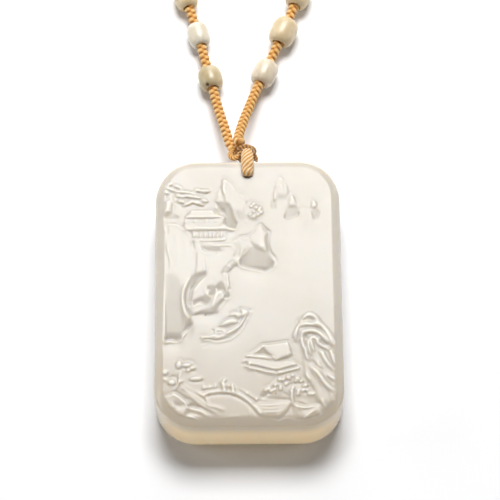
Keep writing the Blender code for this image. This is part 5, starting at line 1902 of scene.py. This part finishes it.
    def left_trees(self) -> None:
        """Carve the small trees and the rocks at the lower left, with tongues of land below."""
        self.layer(
            0.03, 0.08, (-38.6, -43.6, -37.4, -40, -36.4, -39.2, -35, -40.6, -32, -40.2,
            -29.6, -40.8, -28.2, -43, -28.8, -45, -32, -46, -35.6, -45, -38, -45), moat=0.12)
        self.lump(0.40, (-37, -41.6), 1.7, 2.3, -10)
        self.lump(0.40, (-33, -42), 3.0, 1.2, 5)
        self.lump(0.36, (-29.8, -43.5), 1.8, 1.0, 10)
        self.lump(0.32, (-32, -44.8), 1.4, 0.9, 10)
        self.lump(0.42, (-28, -49.4), 3.7, 1.4, 3)
        self.lump(0.38, (-40.6, -51.4), 2.4, 1.7, -18)
        self.lump(0.36, (-44.2, -45.6), 1.7, 1.5)
        self.strokes(
            -0.20, 0.6, (-31.2, -51.1, -28, -51.3, -24, -51), (-38.4, -44.3, -37, -44.6,
            -35.8, -44.2), (-34.3, -42.8, -33.8, -43.6, -33.2, -44.6), (-31.4, -45.6, -29.6, -45.6,
            -27.8, -45.3), (-30.5, -42.4, -29.8, -42.3, -29, -42), (-42.2, -49.6, -41, -48.6,
            -39.5, -48.3, -38.2, -48.9, -37.4, -50))
        self.strokes(
            0.24, 0.7, (-36.3, -45.8, -36.8, -48.5, -36.8, -50.5, -37.5, -52.5, -38.7, -54.5,
            -40.3, -56.3), (-36.6, -51, -35.8, -50.9, -34.8, -50.7), (-45.5, -49.2, -44.2, -49.4,
            -43, -50))
        self.stroke(-0.14, 0.5, -37.6, -47, -37.9, -50, -39, -53.4)
        self.layer(
            0.14, 0.36, (-45.6, -59, -43, -58.4, -41, -58, -39.8, -57.4, -38.5, -57.8, -36.3, -59.2,
            -34.4, -60.8, -32.8, -62.6, -32, -65, -34.4, -65.6, -40, -66, -44, -64), moat=0.18)
        self.stroke(
            0.16, 0.8, -43, -58.9, -41, -58.5, -39.7, -58, -38.5, -58.5, -36.4, -59.8, -34.6, -61.4,
            -33, -63, -32.5, -65)
        self.slope(0.24, (-40, -61, -36, -61.6, -34.2, -63.2, -35.8, -64.9, -39, -64.4), soft=0.9)
        self.slope(
            0.30, (-31.8, -64.8, -30, -62, -27.5, -63.4, -24.8, -65.4, -28, -65.6), soft=0.8)
        self.strokes(
            -0.20, 0.65, (-38.4, -56.8, -35.5, -59.3, -33.8, -60.4, -31.5, -60.4), (-40.3, -66.9,
            -38.5, -69, -35.5, -70.2, -31, -71, -27, -72.6), (-33, -68.4, -30, -67.8, -26.5, -68.6,
            -24, -69.7))
        self.strokes(
            0.24, 0.8, (-35, -54.5, -31, -57.5, -27, -60, -24, -62.5, -21, -64.5, -17.5, -65.2,
            -13.5, -66.5), (-34, -57.5, -31, -59.3, -28, -61.5, -25, -64, -22, -65.8, -17.3, -67.8),
            (-33, -65, -30, -66, -27, -66.8, -25, -67.5, -23, -68.8, -21.7, -69.3), (-34, -69.3,
            -31, -70, -28.5, -71, -25.8, -72.2))
        self.strokes(
            -0.12, 0.6, (-33, -55.2, -29.6, -58, -26, -60.7, -22.6, -63.7), (-31, -60.8, -27.6, -63,
            -24, -66, -19, -68.4))
        self.strokes(
            0.12, 0.5, (-34.2, -52.9, -32, -54.6, -30, -56), (-29.5, -56.3, -27.5, -57, -24, -59.4))
        self.layer(
            0.22, 0.34, (-39.9, -66, -35, -65.2, -32.5, -65, -33.1, -67.3, -34.4, -69.1, -37, -69,
            -38.9, -67.5), moat=0.10, edge=0.8)

    def carve(self) -> None:
        """Carve every part of the picture, from the far to the near."""
        for part in (self.far_peaks, self.central_peak, self.pine, self.hall, self.shrub,
                     self.left_cliff, self.middle_cliff, self.middle_rock, self.boat,
                     self.tall_rock, self.pavilion, self.right_tree, self.banks, self.bridge,
                     self.left_trees):
            part()
            log.info("carved: %s", part.__name__)


@dataclass(frozen=True)
class Plaque:
    """The jade plaque: rounded outline, bevelled face, slanted hole and carved landscape."""

    width: float = 0.0400
    length: float = 0.0625
    ground: float = 0.0112
    relief_height: float = 0.0012
    corner: float = 0.0090
    bevel: float = 0.0019
    bevel_drop: float = 0.0013
    bevel_bend: float = 1.4
    foot_bevel: float = 0.0024
    foot_drop: float = 0.0006
    top_drop: float = 0.0003
    edge_rounding: float = 0.0004
    back_rounding: float = 0.0015
    drawn_level: float = 0.0118
    sight: float = 64.0
    carving_from: Range = (0.86, 1.02)
    shift_from: Range = (1.0, 2.0)
    reach_turn: Range = (0.1, 0.95)
    drop_turn: Range = (0.2, 0.95)
    edge_depth: float = 0.8
    least: float = 0.00001
    mouth_from_edge: float = 0.0028
    exit_height: float = 0.0040
    hole_radius: float = 0.0012
    hole_sides: int = 40
    runout: float = 0.0030
    columns: int = 222
    straight_rows: int = 250
    corner_rows: int = 52
    rim_band: float = 0.6
    rim_columns: tuple[float, ...] = (0.0, 0.04, 0.10, 0.18, 0.28, 0.42)
    wall_heights: tuple[float, ...] = (0.0080, 0.0060, 0.0040, 0.0022)
    back_rings: int = 6
    wide_blur: float = 1.1
    face_band: float = 0.0004
    hollow_shade_from: Range = (0.008, 0.11)
    crest_highlight_from: Range = (0.0, 0.07)
    slope_shade_share: float = 0.46
    stain_share: float = 0.75
    stain_edge: Range = (0.4, 1.3)
    stains: tuple[Spot, ...] = (
        (-16.5, 32.3, 0.5), (-23.0, -14.3, 0.55), (13.9, -57.9, 0.55), (-44.0, 53.3, 0.45),
        (41.0, -73.5, 0.5),
    )

    @property
    def lean(self) -> float:
        """Give how far a place shifts along the plaque for each bit of height, as seen."""
        return 1 / math.tan(math.radians(self.sight))

    def drawn(self, x: Grid, y: Grid) -> tuple[Grid, Grid]:
        """Turn places in metres into places as drawn."""
        return (x / (self.width / (2 * DRAWN_HALF_WIDTH)),
                y / (self.length / (2 * DRAWN_HALF_LENGTH)))

    def half_width(self, y: Grid) -> Grid:
        """Give the outline's half width at a place along the plaque."""
        over = np.maximum(np.abs(y) - (self.length / 2 - self.corner), 0.0)
        return self.width / 2 - self.corner + np.sqrt(np.maximum(self.corner**2 - over**2, 0.0))

    def from_rim(self, x: Grid, y: Grid) -> Grid:
        """Measure how far places lie inside the outline.

        Args:
            x: Places across.
            y: Places along.

        Returns:
            The distances to the outline.
        """
        over_x = np.abs(x) - (self.width / 2 - self.corner)
        over_y = np.abs(y) - (self.length / 2 - self.corner)
        outer = np.hypot(np.maximum(over_x, 0.0), np.maximum(over_y, 0.0))
        return self.corner - outer - np.minimum(np.maximum(over_x, over_y), 0.0)

    def outward(self, x: Grid, y: Grid) -> Grid:
        """Give the outline's outward direction at places on it.

        Args:
            x: Places across.
            y: Places along.

        Returns:
            One direction for each place.
        """
        core = np.array([self.width / 2 - self.corner, self.length / 2 - self.corner])
        place = np.stack([x, y], axis=1)
        away = place - np.clip(place, -core, core)
        return away / np.linalg.norm(away, axis=1, keepdims=True)

    def facing(self, x: Grid, y: Grid) -> Grid:
        """Tell how far the nearest stretch of rim faces along the plaque.

        Args:
            x: Places across.
            y: Places along.

        Returns:
            Numbers from 1 at the hanging end over 0 at the sides to -1 at the foot.
        """
        over_x = np.maximum(np.abs(x) - (self.width / 2 - self.corner), 0.0)
        over_y = np.maximum(np.abs(y) - (self.length / 2 - self.corner), 0.0)
        return np.sign(y) * over_y / np.maximum(np.hypot(over_x, over_y), self.least)

    def face_height(self, rim: Grid, facing: Grid, carved: Grid) -> Grid:
        """Work out the face's height.

        Args:
            rim: Distances to the outline.
            facing: How far the rim there faces along the plaque.
            carved: The carving's heights, as shares.

        Returns:
            The heights, in metres.
        """
        widening = smooth(*self.reach_turn, -facing)
        reach = self.bevel + (self.foot_bevel - self.bevel) * widening
        fall = np.clip(1 - rim / reach, 0.0, 1.0) ** self.bevel_bend
        drop = (self.bevel_drop
                + (self.top_drop - self.bevel_drop) * smooth(*self.drop_turn, facing)
                + (self.foot_drop - self.bevel_drop) * smooth(*self.drop_turn, -facing))
        height = self.ground - drop * fall
        near = np.clip(1 - rim / self.edge_rounding, 0.0, 1.0)
        rounded = 1 - np.sqrt(np.maximum(1 - near**2, 0.0))
        height -= self.edge_rounding * self.edge_depth * rounded
        low, high = self.carving_from
        on_face = smooth(self.bevel * low, self.bevel * high, rim)
        return height + self.relief_height * carved * on_face

    def build(self) -> Piece:
        """Build the plaque, carve it and drill it.

        Returns:
            The plaque.
        """
        relief = Landscape()
        relief.carve()
        carving = relief.finished()
        mesh = self.blank(relief, carving)
        piece = new_object("jade_plaque", mesh)
        self.drill(piece)
        self.give_shares(piece.data, relief, carving)
        piece.data.materials.clear()
        piece.data.materials.append(WhiteJade().make())
        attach(piece, "root")
        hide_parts("plaque")
        log.info("plaque: %d faces", len(piece.data.polygons))
        return piece

    def read(self, relief: Relief, grid: Grid, x: Grid, y: Grid) -> Grid:
        """Read a grid of the relief at places on the plaque.

        Args:
            relief: The relief that owns the grid.
            grid: The grid.
            x: Places across, in metres.
            y: Drawn places along, in metres.

        Returns:
            The values, blended between cells.
        """
        u, v = self.drawn(x, y)
        column = (u + relief.half_across) * relief.cells_per_unit
        row = (v + relief.half_along) * relief.cells_per_unit
        c0 = np.clip(np.floor(column).astype(int), 0, grid.shape[1] - 2)
        r0 = np.clip(np.floor(row).astype(int), 0, grid.shape[0] - 2)
        fc, fr = np.clip(column - c0, 0, 1), np.clip(row - r0, 0, 1)
        low = grid[r0, c0] * (1 - fc) + grid[r0, c0 + 1] * fc
        high = grid[r0 + 1, c0] * (1 - fc) + grid[r0 + 1, c0 + 1] * fc
        return low * (1 - fr) + high * fr

    def blank(self, relief: Relief, carving: Grid) -> Mesh:
        """Build the closed surface with its carved face.

        Args:
            relief: The relief.
            carving: Its finished heights.

        Returns:
            The mesh.
        """
        straight = self.length / 2 - self.corner
        turn = np.linspace(0, math.pi / 2, self.corner_rows + 1)[1:]
        end = straight + self.corner * np.sin(turn)
        y = np.concatenate([-end[::-1], np.linspace(-straight, straight, self.straight_rows), end])
        close = np.array(self.rim_columns) * MM / (self.width / 2)
        band = self.rim_band * MM / (self.width / 2)
        middle = np.linspace(-1 + band, 1 - band, self.columns)
        across = np.concatenate([-1 + close, middle, (1 - close)[::-1]])
        x = across[None, :] * self.half_width(y)[:, None]
        y_all = np.repeat(y[:, None], len(across), axis=1)
        rim = np.maximum(self.from_rim(x, y_all), 0.0)
        carved = self.read(relief, carving, x, y_all)
        z = self.face_height(rim, self.facing(x, y_all), carved)
        low, high = self.shift_from
        on_face = smooth(self.bevel * low, self.bevel * high, rim)
        true_y = y_all - self.lean * (z - self.drawn_level) * on_face
        rows, columns = x.shape
        points = [np.stack([x, true_y, z], axis=-1).reshape(-1, 3)]
        index = np.arange(rows * columns).reshape(rows, columns)
        faces = np.stack([index[:-1, :-1], index[:-1, 1:], index[1:, 1:], index[1:, :-1]], axis=-1)
        faces = [faces.reshape(-1, 4)]
        ring = np.concatenate([index[0, :-1], index[:-1, -1], index[-1, :0:-1], index[:0:-1, 0]])
        edge = points[0][ring]
        out = self.outward(edge[:, 0], edge[:, 1])
        bends = [(self.back_rounding * (1 - math.cos(a)), self.back_rounding * (1 - math.sin(a)))
                 for a in np.linspace(0, math.pi / 2, self.back_rings)]
        levels = [(0.0, height) for height in self.wall_heights] + bends
        start, above = len(points[0]), ring
        for inset, height in levels:
            level = np.column_stack([edge[:, :2] - out * inset, np.full(len(edge), height)])
            here = np.arange(start, start + len(edge))
            points.append(level)
            faces.append(np.stack([above, here, np.roll(here, -1), np.roll(above, -1)], axis=-1))
            start, above = start + len(edge), here
        corners = np.concatenate(faces).tolist() + [above[::-1].tolist()]
        return mesh_of("jade_plaque", np.concatenate(points), corners)

    def drill(self, piece: Piece) -> None:
        """Drill the slanted hanging hole.

        Args:
            piece: The plaque.
        """
        mouth = Vector((0, self.length / 2 - self.mouth_from_edge, self.ground))
        way_out = Vector((0, self.length / 2, self.exit_height))
        way = way_out - mouth
        shape = bmesh.new()
        bmesh.ops.create_cone(shape, cap_ends=True, segments=self.hole_sides,
                              radius1=self.hole_radius, radius2=self.hole_radius,
                              depth=way.length + 2 * self.runout)
        turned = way.to_track_quat("Z", "X").to_matrix().to_4x4()
        placed = Matrix.Translation((mouth + way_out) / 2) @ turned
        bmesh.ops.transform(shape, matrix=placed, verts=shape.verts)
        mesh = bpy.data.meshes.new("drill")
        shape.to_mesh(mesh)
        shape.free()
        drill = new_object("drill", mesh)
        cut = piece.modifiers.new("hole", "BOOLEAN")
        cut.operation, cut.solver, cut.object = "DIFFERENCE", "MANIFOLD", drill
        with bpy.context.temp_override(object=piece, active_object=piece,
                                       selected_objects=[piece]):
            bpy.ops.object.modifier_apply(modifier=cut.name)
        bpy.data.objects.remove(drill)

    def give_shares(self, mesh: Mesh, relief: Relief, carving: Grid) -> None:
        """Keep on the mesh the shares of painted shade in the hollows and on the slopes, of painted
        highlight on the crests, and of the stains.

        Args:
            mesh: The plaque's mesh.
            relief: The relief.
            carving: Its finished heights.
        """
        places = np.empty(len(mesh.vertices) * 3)
        mesh.vertices.foreach_get("co", places)
        x, y, z = places.reshape(-1, 3).T
        seen_y = y + self.lean * (z - self.drawn_level)
        # Painted shade in the carving's recesses and on its slopes facing away from the light;
        # painted highlight on its crests.
        step = carving - blurred(carving, self.wide_blur * relief.cells_per_unit)
        on_top = (z > self.ground - self.face_band).astype(float)
        standing = self.read(relief, step, x, seen_y) * on_top
        slope_shade = self.read(relief, relief.slope_shade, x, seen_y) * on_top
        hollow_shade = np.maximum(smooth(*self.hollow_shade_from, -standing), self.slope_shade_share * slope_shade)
        give_share(mesh, "hollow_shade", hollow_shade)
        give_share(mesh, "crest_highlight", smooth(*self.crest_highlight_from, standing))
        stain = np.zeros(len(x))
        across, along = self.drawn(x, seen_y)
        low, high = self.stain_edge
        for u, v, size in self.stains:
            gap = np.hypot(across - u, along - v)
            spot = 1 - smooth(size * low, size * high, gap)
            stain = np.maximum(stain, self.stain_share * spot)
        give_share(mesh, "stain", stain)


def main() -> None:
    """Set up the studio, build every piece in order and turn both sizes into text."""
    logging.basicConfig(level=logging.INFO, format="%(message)s")
    Studio().set_up()
    cord = Cord()
    beads = BeadMaker().build_all(cord)
    loop = HangingLoop().build()
    knot = Knot().build()
    cord.build([loop, *knot, *beads])
    Plaque().build()
    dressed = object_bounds()
    json.dumps({"cad": plain(CAD_BOX), "scene": plain(dressed)})


def plain(box: object) -> object:
    """Turn a box into plain lists.

    Args:
        box: Nested numbers.

    Returns:
        The same numbers as lists.
    """
    if isinstance(box, (int, float)):
        return float(box)
    if isinstance(box, dict):
        return {key: plain(value) for key, value in box.items()}
    return [plain(value) for value in box]


if __name__ == "__main__":
    main()
